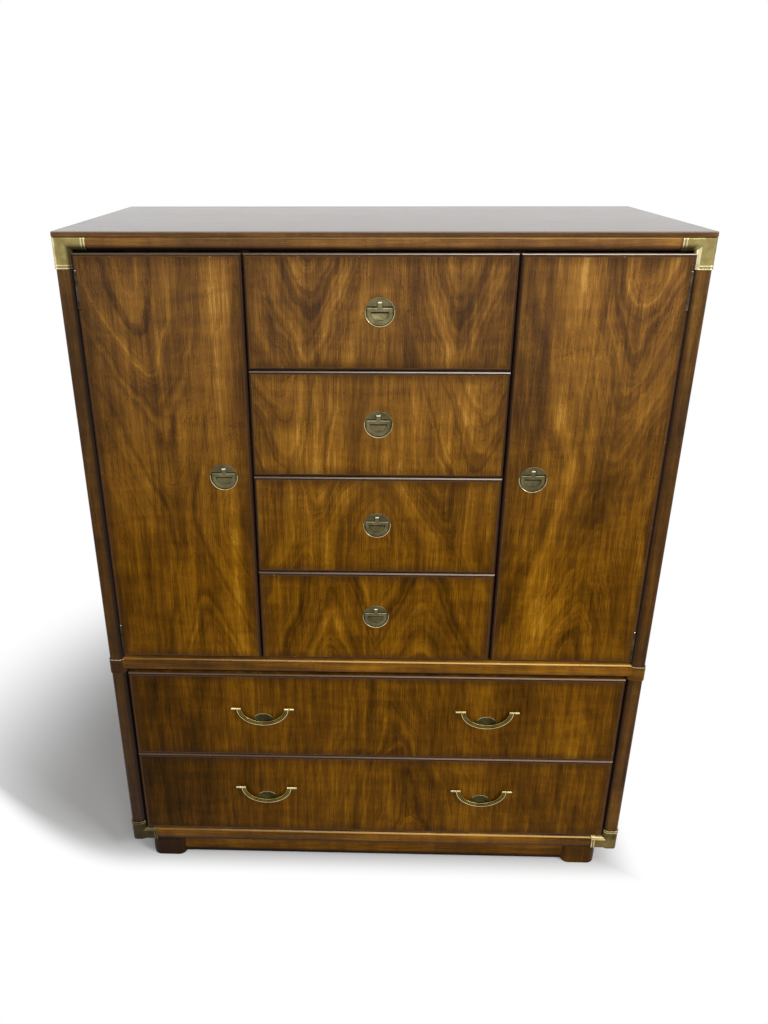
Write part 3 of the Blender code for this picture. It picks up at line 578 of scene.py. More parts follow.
def halves(x, left, right):
    """One number on the left half of the chest and another on the right."""
    return x.between(-0.1, 0.1, left, right)


def shade_to_the_left(x, y, z):
    """Painted shade towards the left end of a long piece."""
    return x.between(-0.5, 0.1, 0.6, 0.0)


def under(rail):
    """Painted shade along the lower edge of a rail, and a little towards its left end."""
    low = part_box(rail)[0].z
    return lambda x, y, z: (z - low).between(0.003, 0.013, 0.92, 0.0) + shade_to_the_left(x, y, z) * 0.4


def shade_from_opening(x, y, z):
    """Painted shade on a post's moulding where it turns in towards the doors and drawers, a little less on
    the right, and low on the left post.
    """
    aside = abs(x) - OPEN_HALF + halves(x, 0.0, 0.004)
    moulding = aside.between(0.007, 0.013, 1.0, 0.0) * halves(x, 0.93, 0.85)
    return moulding.most(halves(x, 0.4, 0.0) * z.between(0.3, 0.9, 1.0, 0.0))


# %% Woods of the frame
def darker(stops, share):
    return [(position, tuple(v * share for v in tint)) for position, tint in stops]


def solid_wood(name, share, along, seed, gloss, shine, glaze_and_painted_shade=None):
    """A plain wood with a share of the veneer's brightness, darkened by painted shade where the function
    given last says so.
    """
    w = Wood(name, (0.6, 0.5), 0.06, along=along, seed=seed, arches=0.5)
    base = w.stained(darker(WOOD_LOW_SHADED, share), darker(WOOD_HIGH_HAZED, share))
    if glaze_and_painted_shade is not None:
        base = w.mix(glaze_and_painted_shade(*w.place) + (w.fibre - 0.5) * 0.2, base, colour(30, 18, 12))
    return w.varnished(base, gloss, shine)


# The left post is a darker copy of the right one, as painted shade.
lit_and_shaded_post_woods = {name: solid_wood(f"{name}_post_wood", share, "Z", 9.0, 0.2, 0.1, shade_from_opening)
              for name, share in (("left", 0.5), ("right", 0.6))}
# The rails, the collars, the plinth and the feet carry painted shade from the function given to each.
rail_woods = {name: solid_wood(f"{name}_rail_wood", 1.3, "X", seed, 0.18, 0.08, under(f"{name}_rail"))
              for name, seed in (("top", 10.0), ("waist", 10.3), ("base", 10.6))}
collar_wood = solid_wood("collar_wood", 0.85, "X", 9.5, 0.2, 0.08, shade_to_the_left)
plinth_wood = solid_wood("plinth_wood", 1.0, "X", 10.9, 0.25, 0.04, under("plinth"))
top_wood = solid_wood("top_wood", 0.6, "X", 11.0, 0.14, 0.25)
rim_wood = solid_wood("rim_wood", 0.7, "X", 11.5, 0.2, 0.15)
board_wood = solid_wood("board_wood", 0.8, "Z", 12.0, 0.35, 0.1)
foot_wood = solid_wood("foot_wood", 0.5, "Z", 13.0, 0.3, 0.04, lambda x, y, z: shade_to_the_left(x, y, z) * 1.3)

# %% The pale wood of the drawer boxes
TRAY = [(0.0, colour(140, 104, 62)), (0.3, colour(172, 136, 88)), (0.55, colour(194, 160, 110)),
        (0.8, colour(206, 176, 128)), (1.0, colour(220, 194, 150))]
tray = Wood("tray_wood", (0.3, 0.1), 0.05, along="Y", seed=14.0, arches=0.3)
tray_wood = tray.varnished(tray.stained(TRAY, TRAY), 0.5, 0.3)

# %% [markdown]
# Edges tell the age of a piece: the fronts' bevels are nearly black, and the arris beside them is nicked down
# to bare wood. Other edges carry painted highlights: the pale upper edges of the fronts, a light line on the
# rails' upper rounding, and lighter edges on the slab and the collars. All of these are a tint laid over the
# same wood.

# %% Edges: tinted, nicked, and with painted highlights
def edge_of(name, along, seed):
    return Wood(name, (0.3, 0.2), 0.1, along=along, seed=seed, arches=0.4)


def tinted_edge(name, along, seed, share, tint, *varnish):
    """A share of a tint over the wood, under varnish of a gloss, a shine and perhaps a coat."""
    w = edge_of(name, along, seed)
    return w.varnished(w.mix(share, w.stained(), tint), *varnish)


edge_wood = tinted_edge("dark_bevel", "Z", 15.0, 0.85, colour(40, 27, 22), 0.25, 0.07)
# The slab's rounded edges take a lighter tint, a painted highlight.
slab_arris_highlight = tinted_edge("slab_edge_wood", "X", 18.0, 0.7, colour(128, 100, 80), 0.25, 0.3)
# The collars' upper edges take a pale tint, a painted highlight.
collar_highlight = tinted_edge("collar_line", "X", 18.5, 0.8, colour(214, 190, 170), 0.2, 0.5, 0.5)

worn = edge_of("worn_arris", "Z", 16.0)
nicks = worn.noise(worn.point(), (160, 160, 160), 3, 0.7).between(0.66, 0.7)
worn_base = worn.mix(nicks * 0.7, worn.mix(0.8, worn.stained(), colour(74, 50, 32)), colour(190, 164, 126))
arris_wood = worn.varnished(worn_base, 0.3, 0.1)

# The fronts' upper bevels: a pale tint, paler higher up and dimmer towards the left, as a painted highlight.
top_highlight = edge_of("top_edge_highlight", "X", 17.0)
x, _, z = top_highlight.place
pale = top_highlight.mix(z.between(0.4, 1.3), colour(150, 124, 104), colour(250, 238, 218))
pale = top_highlight.mix(x.between(-0.3, 0.3, 0.85, 0.0), pale, colour(70, 58, 50))
top_highlight_wood = top_highlight.varnished(top_highlight.mix(0.12, pale, top_highlight.stained()), 0.15, 0.5, 0.5)

# The rails' upper rounding: a golden tint, brighter towards the right, as a painted highlight.
rail_highlight = Wood("rail_highlight_edge", (0.6, 0.5), 0.06, along="X", seed=10.0, arches=0.5)
rail_highlight_share = rail_highlight.place[0].between(-0.4, 0.2, 0.1, 0.6)
rail_highlight_base = rail_highlight.mix(rail_highlight_share, rail_highlight.stained(), colour(236, 190, 104))
rail_highlight_wood = rail_highlight.varnished(rail_highlight_base, 0.2, 0.2, 0.1)

# %% [markdown]
# Brass is bright where it is rubbed and dull elsewhere. Clouds lead from the dull colour to the bright one,
# specks and fine brush marks break up the gloss, and painted shade darkens the places that the function given
# for it names.

# %% Where shade is painted on the brass
TOP_RAIL_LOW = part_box("top_rail")[0].z
BASE_RAIL_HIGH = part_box("base_rail")[1].z


def top_corner_shading(x, y, z):
    """Painted shade in the inner corner of an upper elbow, along both of its arms, but less beside the right
    one.
    """
    aside = abs(x) - OPEN_HALF + halves(x, 0.0, 0.011)
    return aside.most(z - TOP_RAIL_LOW).between(0.006, 0.014, 0.93, 0.0)


def base_corner_shading(x, y, z):
    """Painted shade: dull on the upright arm, and all over the left elbow."""
    upright_arm = z.between(BASE_RAIL_HIGH - 0.008, BASE_RAIL_HIGH - 0.001) * 0.4
    return upright_arm.most(halves(x, 0.86, 0.0))


def below_the_top(x, y, z):
    """Painted shade: pulls lower on the chest are darker."""
    return z.between(0.95, 1.25, 0.3, 0.0)


def below_the_hinge(x, y, z):
    """Painted shade: the lower hinges, and the left ones, are darker."""
    return z.between(0.8, 1.1, 0.35, 0.0) + halves(x, 0.35, 0.0)


# %% The brasses, each with a bright and a dull colour and the roughness of the bright
def metal(name, bright, dull, roughness, brass_shading=None, metallic=1.0):
    m = Finish(name)
    bright, dull = colour(*bright), colour(*dull)
    point = m.point()
    patches = m.noise(point, (60, 60, 60), 4, 0.6, 0.4)
    specks = m.noise(point, (900, 900, 900), 2, 0.6).between(0.56, 0.7)
    brushed = m.noise(point, (300, 300, 2600), 2, 0.5)
    base = m.mix(patches.between(0.3, 0.7), dull, bright)
    base = m.mix(specks * 0.4, base, tuple(v * 0.35 for v in dull))
    # Painted shade, where the function given for it says so.
    if brass_shading is not None:
        base = m.mix(brass_shading(*m.parts(point)), base, colour(40, 31, 18))
    rough = patches.between(0.3, 0.7, roughness + 0.1, roughness) + specks * 0.2
    normal = m.bump(brushed * 0.4 - specks, 0.00006, 0.5)
    return m.surface(Base_Color=base, Metallic=metallic, Roughness=rough, Normal=normal,
                     Specular_IOR_Level=0.15)


corner_brass = {"top": metal("top_corner_brass", (160, 145, 93), (128, 114, 69), 0.3, top_corner_shading),
                "base": metal("base_corner_brass", (124, 106, 56), (90, 76, 38), 0.34, base_corner_shading)}
# The bead brasses serve for the ridges and also as painted highlights on the elbows.
bead_and_highlight_brass = {"top": metal("top_bead_brass", (232, 218, 174), (196, 180, 130), 0.22, top_corner_shading),
              "base": metal("base_bead_brass", (232, 212, 158), (180, 160, 108), 0.24, base_corner_shading)}
pull_brass = metal("pull_brass", (134, 124, 90), (98, 90, 62), 0.36, below_the_top)
plate_brass = metal("plate_brass", (114, 107, 76), (86, 80, 56), 0.38, below_the_top)
# The hollow and slit brasses are painted shade; the bar, rim and tip brasses are painted highlights.
recess_shade_brass = metal("recess_shade_brass", (106, 97, 68), (80, 72, 48), 0.42, below_the_top)
bar_highlight_brass = metal("bar_highlight_brass", (158, 146, 108), (112, 102, 72), 0.32)
slit_shade_brass = metal("slit_shade_brass", (34, 28, 18), (24, 20, 14), 0.6, metallic=0.0)
rim_highlight_brass = metal("rim_highlight_brass", (204, 190, 146), (158, 144, 100), 0.26)
tip_highlight_brass = metal("tip_highlight_brass", (252, 242, 208), (236, 222, 180), 0.15)
band_brass = metal("band_brass", (100, 83, 34), (68, 54, 20), 0.38)
line_brass = metal("line_brass", (150, 132, 76), (112, 96, 50), 0.3)
ridge_brass = metal("ridge_brass", (232, 212, 150), (188, 166, 108), 0.22)
head_brass = metal("head_brass", (216, 198, 146), (172, 152, 102), 0.2)
dish_brass = metal("dish_brass", (104, 95, 56), (76, 68, 40), 0.5, metallic=0.35)
hinge_brass = metal("hinge_brass", (100, 88, 72), (40, 33, 27), 0.34, below_the_hinge)
# The pale finial brass goes on the upper finials only, as a painted highlight.
finial_highlight_brass = metal("finial_highlight_brass", (222, 212, 196), (180, 168, 148), 0.2)
print("Finishes made:", len(bpy.data.materials))

# %% [markdown]
# The case: a thin top slab, posts and rails whose inner edges are rounded like a picture frame, and a
# collar round each post at the waist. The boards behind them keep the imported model's shapes and only take a
# finish.

# %% The top slab
SLAB_HALF = 0.5378
SLAB_PROUD = 0.003
SLAB_CORNER = 0.008
low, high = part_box("top_panel")
slab = block((-SLAB_HALF, low.y - SLAB_PROUD, low.z), (SLAB_HALF, high.y, high.z))
soften(slab, stands_up, SLAB_CORNER, 8)
soften_all(slab, 0.0018, 3)
# Slot 2, the slab's rounded edges, takes the lighter tint of a painted highlight.
slotted(slab, lambda normal, middle: 0 if normal.z > 0.9 else 2 if normal.z > 0.1 else 1)
piece("top_slab", slab, "case", [top_wood, rim_wood, slab_arris_highlight], ["top_panel"])

# %% Posts and their collars
MOULD = 0.014
MOULD_STEPS = 14
POST_OUT = 0.5355
POST_BACK = 0.040
POST_CORNER = 0.006
POST_TOE = 0.008
COLLAR_PROUD = 0.002
COLLAR_HEIGHTS = (0.501, 0.534)
COLLAR_BACK = 0.037


def upright(side, grow, z_low, z_high, back):
    """A length of post, grown by a skin's thickness on its front and both sides."""
    inner, outer = side * (OPEN_HALF - grow), side * (POST_OUT + grow)
    front_y = FACE_Y - grow
    bm = block((min(inner, outer), front_y, z_low), (max(inner, outer), FACE_Y + back, z_high))
    soften(bm, at(x=inner, y=front_y), MOULD + grow, MOULD_STEPS)
    soften(bm, at(x=outer, y=front_y), POST_CORNER + grow, 8)
    return bm


def cut_inside(bm, side, half=OPEN_HALF):
    """Cuts off what reaches further in than a post does."""
    return trimmed(bm, (side * half, 0, 0), (-side, 0, 0))


for name, side in SIDES.items():
    low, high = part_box(f"{name}_post")
    post = upright(side, 0, low.z, high.z, POST_BACK)
    bottom = at(z=low.z)
    outermost = POST_OUT - 0.0015
    soften(post, lambda a, b: bottom(a, b) and min(abs(a.x), abs(b.x)) > outermost, POST_TOE, 6)
    piece(f"{name}_front_post", post, "case", [lit_and_shaded_post_woods[name]], [f"{name}_post"])
    collar = cut_inside(upright(side, COLLAR_PROUD, *COLLAR_HEIGHTS, COLLAR_BACK), side)
    soften_all(collar, 0.0009, 3)
    # Slot 1, the collar's upward rounded edges, takes the pale tint of a painted highlight.
    slotted(collar, lambda normal, middle: 1 if 0.2 < normal.z < 0.95 else 0)
    piece(f"{name}_waist_collar", collar, "case", [collar_wood, collar_highlight])

# %% Rails
RAIL_HALF = OPEN_HALF + MOULD
RAIL_BACK = 0.020
ROUNDINGS = {"top": (MOULD, 0.0025), "waist": (MOULD, MOULD), "base": (0.006, MOULD)}


def rail_bar(name, x_low, x_high, grow, back):
    """A length of rail grown by a skin's thickness, with its own rounding below and above."""
    low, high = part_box(f"{name}_rail")
    z_low, z_high = low.z - grow, high.z + grow
    bm = block((x_low, FACE_Y - grow, z_low), (x_high, FACE_Y + back, z_high))
    for z, radius in zip((z_low, z_high), ROUNDINGS[name]):
        soften(bm, at(y=FACE_Y - grow, z=z), radius + grow, MOULD_STEPS)
    return bm


for name in ROUNDINGS:
    rail = rail_bar(name, -RAIL_HALF, RAIL_HALF, 0, RAIL_BACK)
    upmost = 0.96 if name == "top" else 0.72
    # Slot 1, the rounding that faces forward and up, takes the painted highlight.
    slotted(rail, lambda normal, middle: 1 if normal.y < -0.2 and 0.5 < normal.z < upmost else 0)
    piece(f"{name}_front_rail", rail, "case", [rail_woods[name], rail_highlight_wood], [f"{name}_rail"])

# %% [markdown]
# A brass elbow caps each corner where rail and post meet. It is thin metal folded round both, and each arm
# ends in a pair of raised ridges, so an elbow is the shape of the rail and the post grown by the metal's
# thickness.

# %% Brass elbows
WALL = 0.0015
RIDGE_WALL = WALL + 0.0009
RIDGE = 0.0024
RIDGE_STARTS = (-0.0009, 0.0041)
RIDGE_ROUND = 0.0008
ARM_IN = POST_OUT - 0.054
ARM_BACK = 0.016
SLEEVE_BACK = 0.028
RIDGE_BACK = 0.0271
ARM_TIPS = {"top": 1.3127, "base": 0.098}


def elbow_sleeve(side, place):
    """Two arms of thin metal, folded round a post and a rail, each with a pair of ridges at its end."""
    rail_low, rail_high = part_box(f"{place}_rail")
    out, cut_z = (1, rail_high.z) if place == "top" else (-1, rail_low.z)
    tip_z = ARM_TIPS[place]
    beyond = (0, 0, cut_z), (0, 0, out)
    elbow = cut_inside(upright(side, WALL, *sorted((tip_z, cut_z)), SLEEVE_BACK), side)
    xs = sorted((side * ARM_IN, side * RAIL_HALF))
    add(elbow, trimmed(rail_bar(place, *xs, WALL, ARM_BACK), *beyond))
    for start in RIDGE_STARTS:
        zs = sorted((tip_z + out * start, tip_z + out * (start + RIDGE)))
        xs = sorted((side * (ARM_IN + start), side * (ARM_IN + start + RIDGE)))
        on_post = cut_inside(upright(side, RIDGE_WALL, *zs, RIDGE_BACK), side, OPEN_HALF + 0.0003)
        on_rail = trimmed(rail_bar(place, *xs, RIDGE_WALL, ARM_BACK), *beyond)
        for ridge in (on_post, on_rail):
            soften_all(ridge, RIDGE_ROUND, 3)
            add(elbow, marked(ridge, 1))
    return elbow


for name, side in SIDES.items():
    for place in ARM_TIPS:
        node = f"{place}_{name}_brass_corner"
        elbow = elbow_sleeve(side, place)
        # Faces turned left on an upper elbow, and turned up on a base elbow, take the bright bead brass as a
        # painted highlight.
        for face in elbow.faces:
            facing = face.normal.x if place == "top" else -face.normal.z
            if -0.72 < facing < -0.38:
                face.material_index = 1
        piece(f"{node}_sleeve", elbow, "case", [corner_brass[place], bead_and_highlight_brass[place]], [node])

# %% [markdown]
# The chest stands on four square blocks with rounded corners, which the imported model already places.

# %% Feet
FOOT_CORNER = 0.018
for name in SIDES:
    for place in ("front", "rear"):
        node = f"{place}_{name}_foot"
        foot = block(*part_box(node))
        soften(foot, stands_up, FOOT_CORNER, 10)
        soften_all(foot, 0.003, 3)
        piece(f"{node}_block", foot, "case", [foot_wood], [node])

# %% [markdown]
# The doors and drawer fronts are thick boards with a narrow dark bevel round the face. Between the bevel
# and the veneer a hair of lighter wood shows where the corner has worn. Holes are cut for the pulls and the
# hinges.

# %% Fronts
BEVEL = 0.0045
ARRIS = 0.0006
BOARD = 0.019


def front_board(low, high):
    """A board with its face bevelled. The slots: face 0, bevel 1, arris 2, top edge 4 (a painted highlight)
    and all else 3.
    """
    bm = slotted(block(low, high), lambda normal, middle: 0 if normal.y < -0.5 else 3)
    face_edges = at(y=low[1])
    soften(bm, face_edges, BEVEL, 4, 1)
    soften(bm, face_edges, ARRIS, 1, 2)
    # Bevel faces turned up take slot 4, the painted highlight.
    for face in bm.faces:
        if face.material_index == 1 and face.normal.z > 0.7:
            face.material_index = 4
    return bm


def make_front(name, cutters):
    """The board of a door or a drawer, with the cutters' shapes taken out of it."""
    node = front_node(name)
    low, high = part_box(node)
    board = front_board((low.x, FACE_Y, low.z), (high.x, FACE_Y + BOARD, high.z))
    finishes = [veneers[name], edge_wood, arris_wood, board_wood, top_highlight_wood]
    piece(f"{name}_board", cut_by(board, cutters), name, finishes, [node])


# %% [markdown]
# A flush ring pull is the skilled fitting of this chest. A shallow cup is let into the wood; a half-moon
# plate covers its upper part; and a flat ring with a tab turns on two pins, so that pressing the tab lifts
# the ring to the finger. Its shapes are drawn lying flat, with y up the front and z out of it.

# %% The hole for a pull, and the pocket into which its tab dips
PULL_HOLE = 0.0247
HOLE_FLOOR = -0.0073
POCKET = ((-0.005, 0.0048), (0.005, 0.01737))
POCKET_FLOOR = -0.01307


def pocket(top):
    return block((*POCKET[0], POCKET_FLOOR), (*POCKET[1], top))


def pull_cutters(x, z):
    return [placed(shape, on_face(x, z)) for shape in (drum(PULL_HOLE, HOLE_FLOOR, 0.003, 64), pocket(0.001))]


# %% The cup
CUP_STEPS = 72
CUP_RIM = 0.0246
CUP_IN = 0.0237
BEAD = 0.0008
PLATE_EDGE = 0.0095
HOLLOW = 0.0150


def cup_slot(normal, middle):
    """Slot 2, darker as painted shade, on the cup's floor; 1, a painted highlight, on the rolled rim below
    the plate; and 0 elsewhere.
    """
    rolled = math.hypot(middle.x, middle.y) > 0.0236 and middle.z > -0.0008
    return 2 if middle.z < -0.003 else 1 if rolled and middle.y < 0.004 else 0


def cup_with_plate():
    """The cup, its rolled rim, the half-moon plate, and the finger hollow, deepest under the ring's bar."""
    turns = [math.radians(22.5 * step - 90) for step in range(9)]
    rim = [(CUP_RIM + BEAD * math.sin(turn), 0.0003 + BEAD * math.cos(turn)) for turn in turns]
    bottom = [(0, -0.006), (0.0155, -0.006), (0.0155, -0.0038), (0.0234, -0.0038), (0.0238, -0.0034)]
    outside = [(0.0244, 0.0003), (0.0244, -0.007), (0, -0.007)]
    cup = slotted(lathe(bottom + rim + outside, CUP_STEPS), cup_slot)
    plate = marked(trimmed(drum(CUP_IN, -0.0016, -0.0001, CUP_STEPS), (0, PLATE_EDGE, 0), (0, -1, 0)), 4)
    soften_all(plate, 0.00025)
    cup = cut_by(add(cup, plate), [pocket(0.002)])
    hollow = trimmed(drum(HOLLOW, -0.0065, -0.0011, CUP_STEPS), (0, -0.0003, 0), (0, 1, 0))
    trimmed(hollow, (0, -0.0125, -0.0012), (0, 0.28, 1))
    # The finger hollow takes the darker brass of painted shade.
    add(cup, marked(hollow, 2))
    # Dark sheets of painted shade: one in the gap under the ring's bar, and two beside the tab under the
    # plate's edge.
    add(cup, marked(block((-0.0146, -0.0026, -0.0065), (0.0146, -0.0002, -0.0026)), 3))
    for start, end in ((-0.0213, -0.0052), (0.0052, 0.0213)):
        add(cup, marked(block((start, 0.0066, -0.0066), (end, 0.0102, -0.0034)), 3))
    return cup


# %% The ring with its tab
RING = 0.0230
RING_FLAT = 0.0212
RING_HOLE = 0.0152
RING_UNDER = -0.0032
RING_TOP = -0.0008
BAR_TOP = 0.0071
PIN_AXIS = moved(0, 0.0063, -0.002)


def ring_with_tab():
    """A half ring with a straight bar at its top, a tab on the bar, and two pins. The bar's upper edge and
    the tab's tip take painted highlights.
    """
    ring = drum(RING, RING_UNDER, RING_TOP, 96)
    trimmed(ring, (0, BAR_TOP, 0), (0, 1, 0))
    for side in (1, -1):
        trimmed(ring, (side * RING_FLAT, 0, 0), (side, 0, 0))
    trimmed(ring, (0, 0.0058, RING_TOP), (0, 0.5, 1))
    hole = trimmed(drum(RING_HOLE, -0.006, 0.006, CUP_STEPS), (0, 0, 0), (0, 1, 0))
    ring = cut_by(ring, [hole])
    soften_all(ring, 0.0005)
    # Slot 1, the bar's upper edge, is a painted highlight.
    slotted(ring, lambda normal, middle: 1 if middle.y > 0.0055 and 0.2 < normal.z < 0.95 else 0)
    tab = block((-0.0042, 0.005, RING_UNDER), (0.0042, 0.0158, -0.0007))
    soften_all(tab, 0.0004, 3)
    tip = block((-0.0036, 0.0146, -0.003), (0.0036, 0.0170, -0.0004))
    soften_all(tip, 0.0005, 3)
    add(add(ring, tab), marked(tip, 2))
    for side in (-1, 1):
        pin = drum(0.0009, 0.0195, 0.0232, 16)
        add(ring, placed(pin, PIN_AXIS @ Matrix.Rotation(side * math.pi / 2, 4, "Y")))
    return ring


# %% A ring pull in its place
def ring_pull(name, x, z, body):
    """A pull on the front plane at x, z, its cup on the body and its ring on a body of its own."""
    spot = on_face(x, z)
    finishes = [pull_brass, rim_highlight_brass, recess_shade_brass, slit_shade_brass, plate_brass]
    cup = placed(cup_with_plate(), spot)
    piece(f"{name}_cup_and_plate", cup, body, finishes, [f"{name}_pull_cup"])
    ring_node = f"{name}_pull_ring"
    finishes = [pull_brass, bar_highlight_brass, tip_highlight_brass]
    piece(f"{name}_flat_ring", placed(ring_with_tab(), spot), ring_node, finishes, [ring_node])


# %% [markdown]
# Each long drawer hangs from two bail pulls. The bail is a flat band with three raised ridges along it,
# swung on pins between two posts, and a half-moon dish in the wood behind it leaves room for the fingers.

# %% The band of a bail
BAIL_MID = (0.0489, 0.037)
FLAT = 0.0063
BAND_SECTION = [(-0.0047, 0.0047), (-0.0047, 0.0070), (-0.0043, 0.0074), (-0.0036, 0.0074), (-0.0033, FLAT),
                (-0.0010, FLAT), (-0.0006, 0.0072), (0.0004, 0.0072), (0.0008, FLAT), (0.0026, FLAT),
                (0.0030, 0.0075), (0.0043, 0.0075), (0.0047, 0.0071), (0.0047, 0.0047), (0.0043, 0.0045),
                (-0.0043, 0.0045)]


def band_slot(face):
    """Slot 1 on top of the outer ridge, 3 on top of the other two, and 0 elsewhere."""
    low = min(vert.co.z for vert in face.verts)
    return 0 if len(face.verts) > 4 or low < 0.0068 else 1 if low > 0.00745 else 3


def bail_band():
    """The band's section turned through half a circle, then drawn out to the half ellipse of the real one."""
    bm = bmesh.new()
    verts = [bm.verts.new((-(1 + off), 0, height)) for off, height in BAND_SECTION]
    face = bm.faces.new(verts)
    geom = verts + list(face.edges) + [face]
    bmesh.ops.spin(bm, geom=geom, axis=(0, 0, 1), angle=math.pi, steps=48)
    bmesh.ops.remove_doubles(bm, verts=bm.verts, dist=1e-7)
    for vert in bm.verts:
        reach = math.hypot(vert.co.x, vert.co.y)
        off = reach - 1
        vert.co.x *= (BAIL_MID[0] + off) / reach
        vert.co.y *= (BAIL_MID[1] + off) / reach
    for face in bm.faces:
        face.material_index = band_slot(face)
    return bm


# %% The dish behind a bail
DISH = 0.0245
DISH_DEPTH = 0.0095
DISH_DROP = -0.041


def bowl(radius, depth, top):
    """Half of a shallow bowl, open towards the viewer, its straight side down."""
    turns = [math.radians(9 * step) for step in range(1, 10)]
    side = [(radius * math.cos(turn), -depth * math.sin(turn)) for turn in turns]
    profile = [(0, top), (radius, top), (radius, 0.0)] + side + [(0, -depth)]
    return trimmed(lathe(profile, 64), (0, 0, 0), (0, -1, 0))


def dish_lining():
    """Thin metal that fills the bowl's wall, with a rolled rim and the head of its pin."""
    room = placed(bowl(DISH - 0.0017, DISH_DEPTH - 0.0012, 0.005), moved(0, 0.0009, 0))
    lining = cut_by(bowl(DISH, DISH_DEPTH, 0.0003), [room])
    slotted(lining, lambda normal, middle: 1 if middle.z > 0.0002 else 0)
    pin = lathe([(0, 0.0016), (0.0009, 0.0013), (0.0013, 0.0006), (0.0013, -0.001), (0, -0.001)], 24)
    return add(lining, marked(placed(pin, moved(0, DISH - 0.0008, 0)), 1))


# %% A bail in its place
EYE = 0.0025
STEM = 0.0012
STEM_OUT = 0.0595
PIN_HEIGHT = 0.006
EYE_ENDS = (0.0444, 0.0534)
HEAD_PROFILE = [(0, 0.065), (0.0018, 0.065), (EYE, 0.0643), (EYE, 0.0547), (0.0021, 0.054), (STEM, 0.054),
                (STEM, EYE_ENDS[0]), (0, EYE_ENDS[0])]
STEM_PROFILE = [(0, PIN_HEIGHT), (STEM, PIN_HEIGHT), (STEM, 0.0002), (0.0015, 0.0), (0.0015, -0.002),
                (0, -0.002)]


def bail_pull(name, x, z, body):
    """A bail on the front plane, hung at x, z, with its fixed posts and the lining of the dish behind it."""
    spot = on_face(x, z)
    bail = bail_band()
    fixed = bmesh.new()
    for side in SIDES.values():
        across = moved(0, 0, PIN_HEIGHT) @ Matrix.Rotation(side * math.pi / 2, 4, "Y")
        eye = drum(EYE, *EYE_ENDS)
        soften_all(eye, 0.0004)
        add(bail, marked(placed(eye, across), 2))
        add(fixed, placed(lathe(HEAD_PROFILE), across))
        add(fixed, marked(placed(lathe(STEM_PROFILE), moved(side * STEM_OUT, 0, 0)), 1))
    finishes = [band_brass, ridge_brass, head_brass, line_brass]
    piece(f"{name}_band", placed(bail, spot), name, finishes, [name])
    piece(f"{name}_posts", placed(fixed, spot), body, [head_brass, dish_brass])
    lining = placed(dish_lining(), spot @ moved(0, DISH_DROP, 0))
    piece(f"{name}_dish", lining, body, [dish_brass, head_brass])


# %% [markdown]
# The fronts are cut and fitted now: a door has room for its hinges beside the hole for its pull, a small
# drawer has its pull in the middle, and a long drawer has two bails.

# %% Doors and drawers with their fittings
PULL_X = 0.279
PULL_Z = 0.9385
PULL_RISE = 0.003
BAIL_X = 0.230
BAILS = {"lower": 0.2108, "upper": 0.4211}
HINGE_X = 0.503506
HINGE_DEEP = 0.003
HINGES = {"top": (1.2455, 1.309), "base": (0.5505, 0.614)}
FINIAL_ROOM = 0.0023


def hinge_axis(side):
    return moved(side * HINGE_X, FACE_Y + HINGE_DEEP, 0)


for name, side in SIDES.items():
    door = f"{name}_door"
    cutters = pull_cutters(side * PULL_X, PULL_Z)
    for low_z, high_z in HINGES.values():
        cutters.append(placed(drum(0.0038, low_z - FINIAL_ROOM, high_z + FINIAL_ROOM), hinge_axis(side)))
    make_front(door, cutters)
    ring_pull(door, side * PULL_X, PULL_Z, door)

for number in (1, 2, 3, 4):
    name = f"small_drawer_{number}"
    low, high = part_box(f"{name}_front")
    middle = (low.z + high.z) / 2 + PULL_RISE
    make_front(name, pull_cutters(0, middle))
    ring_pull(name, 0, middle, name)

for place, pivot_z in BAILS.items():
    name = f"{place}_long_drawer"
    spots = [on_face(side * BAIL_X, pivot_z + DISH_DROP) for side in SIDES.values()]
    make_front(name, [placed(bowl(DISH, DISH_DEPTH, 0.005), spot) for spot in spots])
    for tag, side in SIDES.items():
        bail_pull(f"{name}_{tag}_bail", side * BAIL_X, pivot_z, name)

# %% [markdown]
# Each door swings on two butt hinges. Only their knuckles show, standing in the gap beside the door: the
# outer two belong to the post, and the middle one to the door.

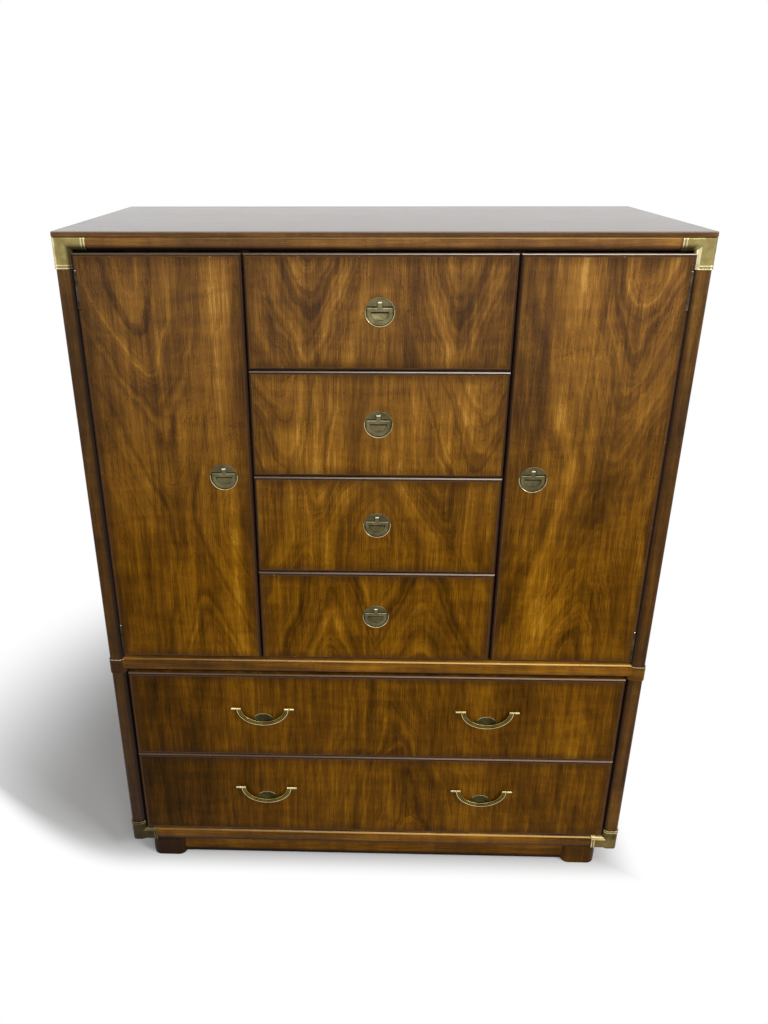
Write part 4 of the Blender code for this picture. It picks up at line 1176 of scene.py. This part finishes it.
# %% Hinges
KNUCKLE = 0.0035
KNUCKLE_LONG = 0.020
PLAY = 0.0003
LEAF = 0.0009
LEAF_BACK = 0.028
WEB = 0.0065
WEB_BACK = 0.006
PIN = 0.0015


def knuckle(low_z, high_z):
    """One knuckle of a hinge, with its ends eased."""
    bm = drum(KNUCKLE, low_z, high_z)
    soften_all(bm, 0.0004)
    return bm


def hinge_pin(low_z, high_z):
    """A pin with a small finial at each end. The upper one takes slot 1, a painted highlight."""
    finial = [(0, 0.002), (0.0016, 0.0018), (0.0025, 0.0008), (0.0025, 0), (PIN, 0)]
    below = [(radius, low_z - height) for radius, height in finial]
    above = [(radius, high_z + height) for radius, height in reversed(finial)]
    return slotted(lathe(below + above), lambda normal, middle: 1 if middle.z > high_z + 0.0004 else 0)


for name, side in SIDES.items():
    for place, (low_z, high_z) in HINGES.items():
        node = f"{name}_{place}_hinge"
        fixed = bmesh.new()
        for end in (low_z, high_z - KNUCKLE_LONG):
            add(fixed, knuckle(end, end + KNUCKLE_LONG))
        placed(add(fixed, hinge_pin(low_z, high_z)), hinge_axis(side))
        inner = side * (OPEN_HALF - PLAY)
        xs = sorted((inner, inner - side * LEAF))
        add(fixed, block((xs[0], FACE_Y + HINGE_DEEP, low_z), (xs[1], FACE_Y + LEAF_BACK, high_z)))
        piece(f"{node}_on_post", fixed, "case", [hinge_brass, finial_highlight_brass], [node])
        low_z, high_z = low_z + KNUCKLE_LONG + PLAY, high_z - KNUCKLE_LONG - PLAY
        moving = placed(knuckle(low_z, high_z), hinge_axis(side))
        xs = sorted((side * (HINGE_X - WEB), side * HINGE_X))
        add(moving, block((xs[0], FACE_Y + HINGE_DEEP, low_z), (xs[1], FACE_Y + WEB_BACK, high_z)))
        piece(f"{node}_on_door", moving, f"{name}_door", [hinge_brass])

# %% [markdown]
# The side panels, decks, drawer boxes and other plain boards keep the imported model's shapes.

# %% Finishes for the plain boards
for node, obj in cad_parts.items():
    if obj.hide_render:
        continue
    finish = tray_wood if node.endswith("_box") else plinth_wood if node == "plinth" else board_wood
    for index in range(len(obj.material_slots)):
        obj.material_slots[index].material = finish
    print(node, "keeps its shape and takes", finish.name)
